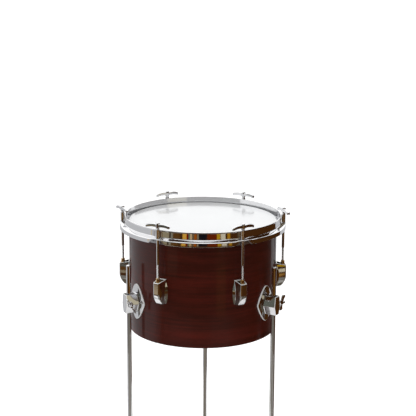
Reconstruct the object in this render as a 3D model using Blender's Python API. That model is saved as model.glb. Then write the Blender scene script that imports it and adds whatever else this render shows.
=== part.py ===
"""Single-headed floor-standing drum on three clamped legs.

Frame: metres, +Z up, the front of the drum towards -Y, and the origin on the floor under the
middle of the drum's box, a little behind its axis because the rear foot stands out furthest.
The pieces are made about their own axis and moved there together at the end. Azimuths are
degrees anticlockwise from +X, seen from above. A piece of hardware on the shell is modelled in a
local frame at the shell's outer surface, X along the tangent, Y outward and Z up, and is then
turned to its azimuth.
"""
import math

import bmesh
import bpy
from mathutils import Matrix

MM = 0.001

# Whole drum
RIM_HEIGHT = 570.0 * MM
LUG_COUNT = 6
FIRST_LUG_AZIMUTH = 0.0
LEG_COUNT = 3
FIRST_LEG_AZIMUTH = 90.0
FRONT_LEG_LEAD = 1.8

# Fits
TOUCH_GAP = 0.3 * MM
RUNNING_GAP = 0.3 * MM
RING_SEGMENTS = 60

# Shell
SHELL_RADIUS = 150.8 * MM
SHELL_WALL = 7.0 * MM
SHELL_DEPTH = 225.0 * MM
EDGE_ROUND = 2.0 * MM
EDGE_BEVEL = 4.0 * MM

# Drumhead
HEAD_RECESS = 10.5 * MM
FILM_THICKNESS = 0.8 * MM
COLLAR_DEPTH = 13.0 * MM
FILM_HOOK = 3.4 * MM

# Flesh hoop
FLESH_HOOP_WIDTH = 7.4 * MM
FLESH_HOOP_HEIGHT = 11.0 * MM
FLESH_HOOP_TOP_DROP = 17.5 * MM

# Counter hoop
BAND_WALL = 2.0 * MM
BAND_DROP = 15.0 * MM
BEAD = 0.8 * MM
LIP_WALL = 2.0 * MM
LIP_DROP = 27.0 * MM
FLANGE_SLOPE = 2.8 * MM
LIP_EDGE = 1.2 * MM
EAR_RISE = 0.6 * MM
EAR_THICKNESS = 2.4 * MM
EAR_STEP = 0.4 * MM
EAR_HALF_ANGLE = 2.4
LIP_FULL_ANGLE = 7.0
EAR_MARGIN = 1.8 * MM

# Tension rods and their handles
ROD_RADIUS = 2.8 * MM
THREAD_RADIUS = 2.5 * MM
THREAD_START_DROP = 69.0 * MM
THREAD_STEP = 0.5 * MM
ROD_POINT = 0.7 * MM
ROD_END_GAP = 3.0 * MM
ROD_SOCKET_DEPTH = 14.0 * MM
HUB_RADIUS = 4.1 * MM
HUB_NECK_DROP = 12.4 * MM
HUB_NECK_HEIGHT = 3.2 * MM
HUB_NECK_DEPTH = 0.8 * MM
HUB_SWELL = 0.5 * MM
HUB_CROWN = 3.0 * MM
HUB_CROWN_EDGE = 1.2 * MM
HANDLE_TOP_RISE = 15.5 * MM
WING_SPAN = 52.5 * MM
WING_RISE = 10.4 * MM
WING_TIP_RISE = 6.8 * MM
WING_DIP = 2.0 * MM
WING_HEIGHT = 6.6 * MM
WING_DEPTH = 7.8 * MM
WING_FLAT_SHARE = 0.8
HANDLE_TURNS = (22.0, 0.0, 0.0, 30.0, 8.0, 8.0)

# Lugs
LUG_HEIGHT = 45.5 * MM
LUG_TOP_DROP = 105.2 * MM
LUG_FRONT_WIDTH = 13.0 * MM
LUG_BASE_WIDTH = 28.0 * MM
LUG_END_WIDTH = 20.4 * MM
LUG_FRONT_WALL = 1.2 * MM
LUG_FOOT_REACH = 9.5 * MM
LUG_RIDGE_REACH = 6.0 * MM
LUG_RIM_RISE = 4.7 * MM
LUG_WALL = 2.0 * MM
LUG_RECESS_DEPTH = 5.0 * MM
LUG_WEB = 3.5 * MM
LUG_CAVITY_WIDTH = 12.6 * MM
LUG_CAVITY_HEIGHT = 18.0 * MM

# Swivel nuts
NUT_COLLAR_RADIUS = 4.0 * MM
NUT_STAND_OUT = 9.2 * MM
NUT_FLANGE_RADIUS = 5.8 * MM
NUT_FLANGE_HEIGHT = 3.2 * MM
NUT_TAIL = 7.0 * MM

# Legs and feet
LEG_STAND_OFF = 19.4 * MM
LEG_RADIUS = 4.8 * MM
LEG_TOP_DROP = 86.0 * MM
LEG_CHAMFER = 1.0 * MM
FOOT_RADIUS = 13.0 * MM
FOOT_TOP_RADIUS = 7.4 * MM
FOOT_HEIGHT = 32.0 * MM
FOOT_SOLE = 8.0 * MM
FOOT_EDGE = 2.0 * MM
FOOT_LIP = 0.9 * MM

# Leg brackets
BRACKET_DROP = 163.5 * MM
PLATE_HEIGHT = 73.0 * MM
PLATE_WIDTH = 54.0 * MM
PLATE_EDGE = 3.0 * MM
PLATE_DOME = 2.6 * MM
HOUSING_TOP = 18.2 * MM
HOUSING_HEIGHT = 38.5 * MM
HOUSING_OVER_LEG = 9.4 * MM
HOUSING_TOP_WIDTH = 16.2 * MM
HOUSING_MID_WIDTH = 21.3 * MM
HOUSING_LOW_WIDTH = 12.6 * MM
HOUSING_ROOT_WIDTH = 30.0 * MM
HOUSING_ROOT_LOW_WIDTH = 14.0 * MM
HOUSING_BEVEL = 0.8 * MM
POCKET_DEPTH = 2.5 * MM
POCKET_WALL = 2.2 * MM

# Wing bolts
BOLT_DROP = 164.5 * MM
BOLT_TILT = 15.0
BOLT_RADIUS = 3.0 * MM
BOSS_RADIUS = 6.0 * MM
BOSS_REACH = 15.5 * MM
BOLT_HUB_START = 16.5 * MM
BOLT_HUB_RADIUS = 4.4 * MM
BOLT_HUB_LENGTH = 10.0 * MM
BOLT_TIP_RADIUS = 3.2 * MM
BOLT_NECK = 2.0 * MM
BOLT_TIP_LENGTH = 5.0 * MM
BOLT_WING_RADIUS = 18.6 * MM
BOLT_WING_START = 19.5 * MM
BOLT_WING_LENGTH = 10.0 * MM
BOLT_WING_DIP = 4.0 * MM
BOLT_WING_THICKNESS = 2.8 * MM
BOLT_WING_TURNS = (10.0, 30.0, 15.0)

# Screws through the shell
SCREW_RADIUS = 2.0 * MM
SCREW_HEAD_RADIUS = 4.0 * MM
SCREW_HEAD_HEIGHT = 2.6 * MM
SCREW_FLANGE_RADIUS = 5.2 * MM
SCREW_FLANGE_THICKNESS = 1.0 * MM
SCREW_BITE = 4.6 * MM
LUG_SCREW_HEIGHTS = (-7.0 * MM, -18.0 * MM)
BRACKET_SCREW_HEIGHTS = (25.0 * MM, -20.0 * MM)
BRACKET_SCREW_BITE = 3.0 * MM

# Places that follow from the sizes above
FILM_TOP = RIM_HEIGHT - HEAD_RECESS
SHELL_TOP = FILM_TOP - FILM_THICKNESS - TOUCH_GAP
SHELL_BOTTOM = SHELL_TOP - SHELL_DEPTH
SHELL_INNER = SHELL_RADIUS - SHELL_WALL
COLLAR_INNER = SHELL_RADIUS + TOUCH_GAP
COLLAR_OUTER = COLLAR_INNER + FILM_THICKNESS
COLLAR_BOTTOM = FILM_TOP - COLLAR_DEPTH
FLESH_HOOP_INNER = COLLAR_OUTER + TOUCH_GAP
FLESH_HOOP_OUTER = FLESH_HOOP_INNER + FLESH_HOOP_WIDTH
FLESH_HOOP_TOP = RIM_HEIGHT - FLESH_HOOP_TOP_DROP
FLANGE_UNDERSIDE = FLESH_HOOP_TOP + TOUCH_GAP
EAR_TOP = FLANGE_UNDERSIDE + EAR_RISE
BAND_RADIUS = FLESH_HOOP_OUTER - TOUCH_GAP
ROD_CIRCLE_RADIUS = BAND_RADIUS + BEAD + TOUCH_GAP + HUB_RADIUS
ROD_HOLE_RADIUS = ROD_RADIUS + RUNNING_GAP
LIP_RADIUS = ROD_CIRCLE_RADIUS + ROD_HOLE_RADIUS + EAR_MARGIN
HANDLE_BOTTOM = EAR_TOP + TOUCH_GAP
HANDLE_TOP = RIM_HEIGHT + HANDLE_TOP_RISE
ROD_STAND_OFF = ROD_CIRCLE_RADIUS - SHELL_RADIUS
LUG_REACH = ROD_STAND_OFF + NUT_FLANGE_RADIUS + RUNNING_GAP + LUG_FRONT_WALL
LUG_MIDDLE = RIM_HEIGHT - LUG_TOP_DROP - LUG_HEIGHT / 2
LEG_CIRCLE_RADIUS = SHELL_RADIUS + LEG_STAND_OFF
LEG_TOP = RIM_HEIGHT - LEG_TOP_DROP
BRACKET_MIDDLE = RIM_HEIGHT - BRACKET_DROP
BOLT_HEIGHT = RIM_HEIGHT - BOLT_DROP
AXIS_SETBACK = (LEG_CIRCLE_RADIUS + FOOT_RADIUS - LIP_RADIUS) / 2

LUG_AZIMUTHS = [FIRST_LUG_AZIMUTH + 360.0 * number / LUG_COUNT for number in range(LUG_COUNT)]
LEG_LEADS = [FRONT_LEG_LEAD * math.sin(math.tau * number / LEG_COUNT) / math.sin(math.tau / LEG_COUNT)
             for number in range(LEG_COUNT)]
LEG_AZIMUTHS = [FIRST_LEG_AZIMUTH + 360.0 * number / LEG_COUNT + lead for number, lead in enumerate(LEG_LEADS)]


def clear_scene():
    """Remove the objects of the start-up scene."""
    for item in list(bpy.data.objects):
        bpy.data.objects.remove(item, do_unlink=True)


def make_material(name, color, roughness, metallic=0.0, coat=0.0):
    """Return a Principled material with the given plain colour and finish."""
    material = bpy.data.materials.new(name)
    material.use_nodes = True
    shader = material.node_tree.nodes["Principled BSDF"]
    shader.inputs["Base Color"].default_value = (*color, 1.0)
    shader.inputs["Roughness"].default_value = roughness
    shader.inputs["Metallic"].default_value = metallic
    shader.inputs["Coat Weight"].default_value = coat
    material.diffuse_color = (*color, 1.0)
    return material


def add_object(name, mesh, material=None, placement=None):
    """Link a new object that shows the mesh, moved and turned by the placement matrix."""
    item = bpy.data.objects.new(name, mesh)
    bpy.context.scene.collection.objects.link(item)
    if material is not None:
        mesh.materials.clear()
        mesh.materials.append(material)
    if placement is not None:
        item.matrix_world = placement
    return item


def shade(mesh, angle=30.0):
    """Shade a mesh smooth, with its edges over the angle kept sharp."""
    mesh.shade_smooth()
    mesh.set_sharp_from_angle(angle=math.radians(angle))
    return mesh


def finish_bmesh(shape, name):
    """Weld, orient and store a bmesh as a new mesh."""
    bmesh.ops.remove_doubles(shape, verts=shape.verts, dist=1e-6)
    bmesh.ops.recalc_face_normals(shape, faces=shape.faces)
    mesh = bpy.data.meshes.new(name)
    shape.to_mesh(mesh)
    shape.free()
    return mesh


def turned(name, profile, segments, closed=False):
    """Turn a profile of (radius, height) points about Z.

    A closed profile makes a ring. An open one starts and ends on the axis and makes a solid.
    """
    shape = bmesh.new()
    points = [shape.verts.new((radius, 0.0, height)) for radius, height in profile]
    edges = [shape.edges.new(pair) for pair in zip(points, points[1:])]
    if closed:
        edges.append(shape.edges.new((points[-1], points[0])))
    bmesh.ops.spin(shape, geom=points + edges, cent=(0, 0, 0), axis=(0, 0, 1), angle=2 * math.pi,
                   steps=segments, use_merge=True, use_duplicate=False)
    return finish_bmesh(shape, name)


def lofted(name, sections, closed=False):
    """Bridge equal rings of points in order, and cap both ends unless the loft closes on itself."""
    shape = bmesh.new()
    rings = [[shape.verts.new(point) for point in section] for section in sections]
    pairs = list(zip(rings, rings[1:]))
    if closed:
        pairs.append((rings[-1], rings[0]))
    else:
        shape.faces.new(rings[0])
        shape.faces.new(rings[-1])
    for lower, upper in pairs:
        for index in range(len(lower)):
            after = (index + 1) % len(lower)
            shape.faces.new((lower[index], lower[after], upper[after], upper[index]))
    return finish_bmesh(shape, name)


def cylinder_mesh(name, radius, bottom, top, segments):
    """Return a solid cylinder about Z."""
    return turned(name, [(0, bottom), (radius, bottom), (radius, top), (0, top)], segments)


def box_mesh(name, low, high):
    """Return a box between two corners."""
    ring = [(low[0], low[1]), (high[0], low[1]), (high[0], high[1]), (low[0], high[1])]
    return lofted(name, [[(x, y, height) for x, y in ring] for height in (low[2], high[2])])


def carve(mesh, tools, operation="DIFFERENCE"):
    """Return the mesh after an exact Boolean with each (tool mesh, placement) in turn."""
    body = add_object("blank", mesh)
    helpers = []
    for tool, placement in tools:
        cutter = add_object("cutter", tool, placement=placement)
        cutter.hide_render = True
        cutter.display_type = "WIRE"
        step = body.modifiers.new("Boolean", "BOOLEAN")
        step.operation = operation
        step.solver = "EXACT"
        step.object = cutter
        helpers.append(cutter)
    bpy.context.view_layer.update()
    graph = bpy.context.evaluated_depsgraph_get()
    result = bpy.data.meshes.new_from_object(body.evaluated_get(graph))
    for item in [body, *helpers]:
        bpy.data.objects.remove(item, do_unlink=True)
    return result


def joined(name, parts):
    """Join separate (mesh, placement) solids into one mesh of several bodies."""
    shape = bmesh.new()
    for mesh, placement in parts:
        start = len(shape.verts)
        shape.from_mesh(mesh)
        shape.verts.ensure_lookup_table()
        bmesh.ops.transform(shape, matrix=placement, verts=shape.verts[start:])
    mesh = bpy.data.meshes.new(name)
    shape.to_mesh(mesh)
    shape.free()
    return mesh


def on_shell(azimuth, height, stand_off=0.0):
    """Place the local frame at a height of the shell: X along the tangent and Y outward."""
    turn = Matrix.Rotation(math.radians(azimuth - 90.0), 4, "Z")
    return turn @ Matrix.Translation((0.0, SHELL_RADIUS + stand_off, height))


def shell_depth_at(offset, gap=TOUCH_GAP):
    """Return the local Y of a surface that keeps a gap to the round shell, beside the middle."""
    return math.sqrt((SHELL_RADIUS + gap) ** 2 - offset ** 2) - SHELL_RADIUS


def smooth_step(value):
    """Ease a value from 0 to 1."""
    value = min(1.0, max(0.0, value))
    return value * value * (3.0 - 2.0 * value)


def arc(centre, radius, start, end, steps):
    """Return points of an arc in the profile plane, angles in degrees."""
    points = []
    for step in range(steps + 1):
        angle = math.radians(start + (end - start) * step / steps)
        points.append((centre[0] + radius * math.cos(angle), centre[1] + radius * math.sin(angle)))
    return points


def build_shell(material):
    """Build the open wooden tube with its bearing edge and the holes for the hardware screws."""
    shoulder = arc((SHELL_RADIUS - EDGE_ROUND, SHELL_TOP - EDGE_ROUND), EDGE_ROUND, 0.0, 90.0, 2)
    profile = [(SHELL_RADIUS, SHELL_BOTTOM), *shoulder,
               (SHELL_INNER, SHELL_TOP - EDGE_BEVEL), (SHELL_INNER, SHELL_BOTTOM)]
    tube = turned("shell", profile, RING_SEGMENTS, closed=True)
    hole = cylinder_mesh("hole", SCREW_RADIUS + RUNNING_GAP, -2 * SHELL_WALL, SHELL_WALL, 8)
    lie_outward = Matrix.Rotation(math.radians(-90.0), 4, "X")
    places = [on_shell(azimuth, height) @ lie_outward for azimuth, height in screw_places()]
    drill = joined("drill", [(hole, place) for place in places])
    mesh = shade(carve(tube, [(drill, Matrix.Identity(4))]))
    add_object("shell", mesh, material)


def lug_screw_places():
    """Return the azimuth and height of each lug screw."""
    return [(azimuth, LUG_MIDDLE + offset) for azimuth in LUG_AZIMUTHS for offset in LUG_SCREW_HEIGHTS]


def bracket_screw_places():
    """Return the azimuth and height of each bracket screw."""
    return [(azimuth, BRACKET_MIDDLE + offset) for azimuth in LEG_AZIMUTHS
            for offset in BRACKET_SCREW_HEIGHTS]


def screw_places():
    """Return the azimuth and height of every screw hole in the shell."""
    return lug_screw_places() + bracket_screw_places()


def build_drumhead(material):
    """Build the stretched film: a flat disc, a round collar and the hook held by the flesh hoop."""
    centre = (SHELL_RADIUS - EDGE_ROUND, SHELL_TOP - EDGE_ROUND)
    inner_round = EDGE_ROUND + TOUCH_GAP
    outer = arc(centre, inner_round + FILM_THICKNESS, 90.0, 0.0, 2)
    inner = arc(centre, inner_round, 0.0, 90.0, 2)
    hook = COLLAR_OUTER + FILM_HOOK
    profile = [(0, FILM_TOP), *outer,
               (COLLAR_OUTER, COLLAR_BOTTOM + FILM_THICKNESS), (hook, COLLAR_BOTTOM + FILM_THICKNESS),
               (hook, COLLAR_BOTTOM), (COLLAR_INNER, COLLAR_BOTTOM),
               *inner, (0, FILM_TOP - FILM_THICKNESS)]
    add_object("drumhead", shade(turned("drumhead", profile, RING_SEGMENTS)), material)


def build_flesh_hoop(material):
    """Build the channel ring whose groove holds the hook of the film."""
    outer = FLESH_HOOP_OUTER
    bottom = FLESH_HOOP_TOP - FLESH_HOOP_HEIGHT
    groove = COLLAR_OUTER + FILM_HOOK + TOUCH_GAP
    groove_top = COLLAR_BOTTOM + FILM_THICKNESS + TOUCH_GAP
    groove_bottom = COLLAR_BOTTOM - TOUCH_GAP
    profile = [(outer, bottom), (outer, FLESH_HOOP_TOP), (FLESH_HOOP_INNER, FLESH_HOOP_TOP),
               (FLESH_HOOP_INNER, groove_top), (groove, groove_top), (groove, groove_bottom),
               (FLESH_HOOP_INNER, groove_bottom), (FLESH_HOOP_INNER, bottom)]
    mesh = turned("flesh_hoop", profile, RING_SEGMENTS, closed=True)
    add_object("flesh_hoop", shade(mesh), material)


def hoop_profile(lip_share):
    """Return the counter hoop's section: lip_share is 0 on an ear and 1 where the lip is full."""
    band_inner = BAND_RADIUS - BAND_WALL
    flange_end = LIP_RADIUS - LIP_EDGE
    clear_of_flesh = FLESH_HOOP_OUTER + TOUCH_GAP

    def blend(ear, full):
        return ear + (full - ear) * lip_share

    slope_end = RIM_HEIGHT - BAND_DROP - FLANGE_SLOPE
    ear_bottom = EAR_TOP - EAR_THICKNESS
    lip_bottom = RIM_HEIGHT - LIP_DROP
    lip_inner = LIP_RADIUS - LIP_WALL
    return [
        (band_inner, RIM_HEIGHT),
        (BAND_RADIUS + BEAD / 4, RIM_HEIGHT),
        (BAND_RADIUS + BEAD, RIM_HEIGHT - 1.5 * BEAD),
        (BAND_RADIUS, RIM_HEIGHT - 3.5 * BEAD),
        (BAND_RADIUS, blend(EAR_TOP, RIM_HEIGHT - BAND_DROP)),
        (flange_end, blend(EAR_TOP, slope_end)),
        (LIP_RADIUS, blend(EAR_TOP - BEAD, slope_end - 1.5 * BEAD)),
        (LIP_RADIUS, blend(ear_bottom + BEAD, lip_bottom)),
        (blend(LIP_RADIUS - BEAD, lip_inner), blend(ear_bottom, lip_bottom)),
        (blend(lip_inner - BEAD, lip_inner), blend(ear_bottom, slope_end - LIP_WALL)),
        (clear_of_flesh + EAR_STEP, blend(ear_bottom, FLANGE_UNDERSIDE)),
        (clear_of_flesh, FLANGE_UNDERSIDE),
        (band_inner, FLANGE_UNDERSIDE),
    ]


def hoop_stations():
    """Return azimuths round the hoop, close together where the lip fades into an ear."""
    half_pitch = 180.0 / LUG_COUNT
    rest = half_pitch - LIP_FULL_ANGLE
    fade = LIP_FULL_ANGLE - EAR_HALF_ANGLE
    offsets = [0.0, EAR_HALF_ANGLE, EAR_HALF_ANGLE + 0.35 * fade, EAR_HALF_ANGLE + 0.65 * fade,
               LIP_FULL_ANGLE, LIP_FULL_ANGLE + rest / 3, LIP_FULL_ANGLE + rest * 2 / 3, half_pitch]
    stations = []
    for azimuth in LUG_AZIMUTHS:
        stations += [(azimuth - offset, offset) for offset in reversed(offsets[1:])]
        stations += [(azimuth + offset, offset) for offset in offsets[:-1]]
    return stations


def build_counter_hoop(material):
    """Loft the flanged hoop round the drum: its lip is cut back to a flat ear at each rod."""
    sections = []
    for azimuth, offset in hoop_stations():
        fade = (offset - EAR_HALF_ANGLE) / (LIP_FULL_ANGLE - EAR_HALF_ANGLE)
        angle = math.radians(azimuth)
        sections.append([(radius * math.cos(angle), radius * math.sin(angle), height)
                         for radius, height in hoop_profile(smooth_step(fade))])
    hoop = lofted("counter_hoop", sections, closed=True)
    hole = cylinder_mesh("hole", ROD_HOLE_RADIUS, EAR_TOP - LIP_DROP, EAR_TOP + LIP_DROP, 12)
    drill = joined("drill", [(hole, on_shell(azimuth, 0.0, ROD_STAND_OFF)) for azimuth in LUG_AZIMUTHS])
    mesh = shade(carve(hoop, [(drill, Matrix.Identity(4))]))
    add_object("counter_hoop", mesh, material)


def lug_section(height):
    """Return a lug's outline at a height above its middle, with its back on the round shell."""
    share = 2.0 * height / LUG_HEIGHT
    bulge = 1.0 - share * share
    base = LUG_END_WIDTH / 2 + (LUG_BASE_WIDTH - LUG_END_WIDTH) / 2 * bulge
    ridge_reach = LUG_WALL / 2 + (LUG_RIDGE_REACH - LUG_WALL / 2) * bulge
    ridge = base - 0.6 * ridge_reach
    front = LUG_FRONT_WIDTH / 2
    sink = max(0.0, -share)
    reach = LUG_REACH - (LUG_REACH - LUG_FOOT_REACH) * sink * sink
    outline = [(front, reach), (ridge, ridge_reach), (base, shell_depth_at(base)),
               (0.0, shell_depth_at(0.0))]
    mirrored = [(-x, y) for x, y in reversed(outline[:3])]
    return outline + mirrored


def lug_mesh():
    """Cast a lug: a tapering wedge with a recessed top, a web with the nut's hole and a rear cavity."""
    half = LUG_HEIGHT / 2
    heights = [half * share for share in (-1.0, -0.75, -0.45, -0.15, 0.2, 0.65, 1.0)]
    sections = []
    for height in heights:
        rise = LUG_RIM_RISE if height == half else 0.0
        sections.append([(x, y, height + rise * (1.0 - y / LUG_REACH)) for x, y in lug_section(height)])
    wedge = lofted("lug", sections)
    recess_floor = half - LUG_RECESS_DEPTH
    web_bottom = recess_floor - LUG_WEB
    front = LUG_FRONT_WIDTH / 2 - LUG_WALL
    back = LUG_END_WIDTH / 2 - LUG_WALL
    outer = LUG_REACH - LUG_WALL
    inner = LUG_WALL
    ring = [(front, outer), (back, inner), (-back, inner), (-front, outer)]
    levels = (recess_floor, half + 2 * LUG_RIM_RISE)
    recess = lofted("recess", [[(x, y, z) for x, y in ring] for z in levels])
    cavity = box_mesh("cavity", (-LUG_CAVITY_WIDTH / 2, -LUG_WALL, web_bottom - LUG_CAVITY_HEIGHT),
                      (LUG_CAVITY_WIDTH / 2, ROD_STAND_OFF + NUT_FLANGE_RADIUS + RUNNING_GAP, web_bottom))
    hole = cylinder_mesh("hole", NUT_COLLAR_RADIUS + RUNNING_GAP, web_bottom - LUG_WALL, half, 12)
    tap = cylinder_mesh("tap", SCREW_RADIUS + RUNNING_GAP, -LUG_WALL, SCREW_BITE + RUNNING_GAP, 8)
    lie_outward = Matrix.Rotation(math.radians(-90.0), 4, "X")
    taps = joined("taps", [(tap, Matrix.Translation((0, 0, height)) @ lie_outward)
                           for height in LUG_SCREW_HEIGHTS])
    at_rod = Matrix.Translation((0, ROD_STAND_OFF, 0))
    here = Matrix.Identity(4)
    return shade(carve(wedge, [(recess, here), (cavity, here), (hole, at_rod), (taps, here)]))


def build_lugs(material):
    """Place a lug casting at every rod."""
    mesh = lug_mesh()
    for number, azimuth in enumerate(LUG_AZIMUTHS, start=1):
        add_object(f"lug_{number}", mesh, material, on_shell(azimuth, LUG_MIDDLE))


def nut_mesh():
    """Turn a swivel nut: a collar through the web, a flange under it and a tail, bored for the rod."""
    half = LUG_HEIGHT / 2
    web_bottom = half - LUG_RECESS_DEPTH - LUG_WEB
    top = half + NUT_STAND_OUT
    flange_top = web_bottom - TOUCH_GAP
    flange_bottom = flange_top - NUT_FLANGE_HEIGHT
    bore = THREAD_RADIUS + RUNNING_GAP
    profile = [(bore, top), (bore, flange_bottom - NUT_TAIL),
               (NUT_COLLAR_RADIUS, flange_bottom - NUT_TAIL),
               (NUT_COLLAR_RADIUS, flange_bottom), (NUT_FLANGE_RADIUS, flange_bottom),
               (NUT_FLANGE_RADIUS, flange_top), (NUT_COLLAR_RADIUS, flange_top), (NUT_COLLAR_RADIUS, top)]
    return shade(turned("swivel_nut", profile, 10, closed=True))


def build_nuts(material):
    """Seat a swivel nut in every lug, with its origin on the rod's axis."""
    mesh = nut_mesh()
    for number, azimuth in enumerate(LUG_AZIMUTHS, start=1):
        add_object(f"swivel_nut_{number}", mesh, material, on_shell(azimuth, LUG_MIDDLE, ROD_STAND_OFF))


def rod_mesh():
    """Turn a tension rod: a smooth upper shaft and a thinner threaded part that ends in the nut."""
    top = HANDLE_BOTTOM + ROD_SOCKET_DEPTH - TOUCH_GAP
    thread_start = RIM_HEIGHT - THREAD_START_DROP
    lug_top = LUG_MIDDLE + LUG_HEIGHT / 2
    bottom = lug_top - LUG_RECESS_DEPTH - LUG_WEB - LUG_CAVITY_HEIGHT + ROD_END_GAP
    profile = [(0, bottom), (THREAD_RADIUS - ROD_POINT, bottom), (THREAD_RADIUS, bottom + ROD_POINT),
               (THREAD_RADIUS, thread_start - THREAD_STEP), (ROD_RADIUS, thread_start),
               (ROD_RADIUS, top), (0, top)]
    return shade(turned("tension_rod", profile, 10))


def handle_mesh():
    """Cast a T-handle: a domed hub on a barrel, and two wings that droop to their tips."""
    neck = HANDLE_TOP - HUB_NECK_DROP
    half_neck = HUB_NECK_HEIGHT / 2
    hub = [(0, HANDLE_BOTTOM), (HUB_RADIUS, HANDLE_BOTTOM), (HUB_RADIUS, neck - half_neck),
           (HUB_RADIUS - HUB_NECK_DEPTH, neck), (HUB_RADIUS, neck + half_neck),
           (HUB_RADIUS + HUB_SWELL, HANDLE_TOP - HUB_CROWN),
           (HUB_RADIUS - HUB_CROWN_EDGE, HANDLE_TOP - HUB_SWELL), (0, HANDLE_TOP)]
    body = turned("hub", hub, 10)
    sections = []
    for share in (-1.0, -0.92, -0.6, -0.25, 0.25, 0.6, 0.92, 1.0):
        reach = abs(share)
        middle = WING_RISE - (WING_RISE - WING_TIP_RISE) * reach ** 2.6 - WING_DIP * (1.0 - reach) ** 4
        taper = 0.6 if reach == 1.0 else 1.0 - 0.12 * reach
        tall = WING_HEIGHT / 2 * taper
        deep = WING_DEPTH / 2 * taper
        flat = deep * WING_FLAT_SHARE
        section = [(flat, tall), (deep, 0.0), (flat, -tall), (-flat, -tall), (-deep, 0.0), (-flat, tall)]
        sections.append([(share * WING_SPAN / 2, y, RIM_HEIGHT + middle + z) for y, z in section])
    wings = lofted("wings", sections)
    socket = cylinder_mesh("socket", ROD_RADIUS + RUNNING_GAP, HANDLE_BOTTOM - EAR_THICKNESS,
                           HANDLE_BOTTOM + ROD_SOCKET_DEPTH, 10)
    here = Matrix.Identity(4)
    whole = carve(body, [(wings, here)], "UNION")
    return shade(carve(whole, [(socket, here)]), 35.0)


def build_tension_rods(rod_material, handle_material):
    """Place the T-handles on their rods, each with its origin on the rod's axis."""
    rod = rod_mesh()
    handle = handle_mesh()
    for number, (azimuth, turn) in enumerate(zip(LUG_AZIMUTHS, HANDLE_TURNS), start=1):
        place = on_shell(azimuth, 0.0, ROD_STAND_OFF) @ Matrix.Rotation(math.radians(turn), 4, "Z")
        stem = add_object(f"tension_rod_{number}", rod, rod_material, place)
        grip = add_object(f"t_handle_{number}", handle, handle_material, place)
        grip.parent = stem
        grip.matrix_parent_inverse = place.inverted()


def plate_half_height(offset):
    """Return half the height of the pointed-oval bracket plate beside its middle."""
    share = min(1.0, abs(offset) / (PLATE_WIDTH / 2))
    return PLATE_HEIGHT / 2 * (1.0 - 0.93 * share ** 1.8)


def plate_mesh():
    """Loft the bracket's domed oval plate along the tangent, with its back on the round shell."""
    sections = []
    for share in (-1.0, -0.8, -0.6, -0.4, -0.2, 0.0, 0.2, 0.4, 0.6, 0.8, 1.0):
        offset = share * PLATE_WIDTH / 2
        tall = plate_half_height(offset)
        back = shell_depth_at(offset)
        crown = PLATE_DOME * (1.0 - share * share)
        outline = [(back, -tall), (back + PLATE_EDGE, -tall), (back + PLATE_EDGE + 0.7 * crown, -tall / 2),
                   (back + PLATE_EDGE + crown, 0.0), (back + PLATE_EDGE + 0.7 * crown, tall / 2),
                   (back + PLATE_EDGE, tall), (back, tall)]
        sections.append([(offset, y, z) for y, z in outline])
    return lofted("plate", sections)


def housing_mesh():
    """Loft the six-sided housing out from the plate: flat top and bottom and a ridge on each side."""
    top = HOUSING_TOP
    bottom = HOUSING_TOP - HOUSING_HEIGHT
    ridge = top - 0.53 * HOUSING_HEIGHT
    root = PLATE_EDGE / 2
    outer = LEG_STAND_OFF + HOUSING_OVER_LEG
    stations = [(root, HOUSING_ROOT_WIDTH, HOUSING_ROOT_LOW_WIDTH, 0.0),
                (outer - HOUSING_BEVEL, HOUSING_MID_WIDTH, HOUSING_LOW_WIDTH, 0.0),
                (outer, HOUSING_MID_WIDTH - 2 * HOUSING_BEVEL, HOUSING_LOW_WIDTH, HOUSING_BEVEL)]
    sections = []
    for reach, middle, low, inset in stations:
        side = [(HOUSING_TOP_WIDTH / 2 - inset, reach, top - inset), (middle / 2, reach, ridge),
                (low / 2 - inset, reach, bottom + inset)]
        sections.append(side + [(-x, y, z) for x, y, z in reversed(side)])
    return lofted("housing", sections)


def bolt_frame():
    """Return the wing bolt's frame beside the leg: local Z runs out along the bolt from the leg's axis."""
    outward = Matrix.Rotation(math.radians(-90.0), 4, "Y")
    tilt = Matrix.Rotation(math.radians(-BOLT_TILT), 4, "Z")
    return Matrix.Translation((0.0, LEG_STAND_OFF, BOLT_HEIGHT - BRACKET_MIDDLE)) @ tilt @ outward


def bracket_mesh():
    """Cast a leg bracket: oval plate, six-sided housing and bolt boss, bored for leg, bolt and screws."""
    here = Matrix.Identity(4)
    boss = cylinder_mesh("boss", BOSS_RADIUS, LEG_RADIUS, BOSS_REACH, 12)
    whole = carve(plate_mesh(), [(housing_mesh(), here), (boss, bolt_frame())], "UNION")
    at_leg = Matrix.Translation((0.0, LEG_STAND_OFF, 0.0))
    leg_bore = cylinder_mesh("leg_bore", LEG_RADIUS + RUNNING_GAP, -HOUSING_HEIGHT, HOUSING_HEIGHT, 16)
    bolt_bore = cylinder_mesh("bolt_bore", BOLT_RADIUS + RUNNING_GAP, 0.0, 2 * BOSS_REACH, 10)
    pocket_half = HOUSING_TOP_WIDTH / 2 - POCKET_WALL
    pocket_start = PLATE_EDGE + PLATE_DOME + POCKET_WALL
    pocket_end = LEG_STAND_OFF + HOUSING_OVER_LEG - POCKET_WALL
    pocket = box_mesh("pocket", (-pocket_half, pocket_start, HOUSING_TOP - POCKET_DEPTH),
                      (pocket_half, pocket_end, HOUSING_TOP + POCKET_DEPTH))
    tap = cylinder_mesh("tap", SCREW_RADIUS + RUNNING_GAP, -PLATE_EDGE, BRACKET_SCREW_BITE + RUNNING_GAP, 8)
    lie_outward = Matrix.Rotation(math.radians(-90.0), 4, "X")
    taps = joined("taps", [(tap, Matrix.Translation((0, 0, height)) @ lie_outward)
                           for height in BRACKET_SCREW_HEIGHTS])
    tools = [(pocket, here), (leg_bore, at_leg), (bolt_bore, bolt_frame()), (taps, here)]
    return shade(carve(whole, tools), 25.0)


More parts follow.
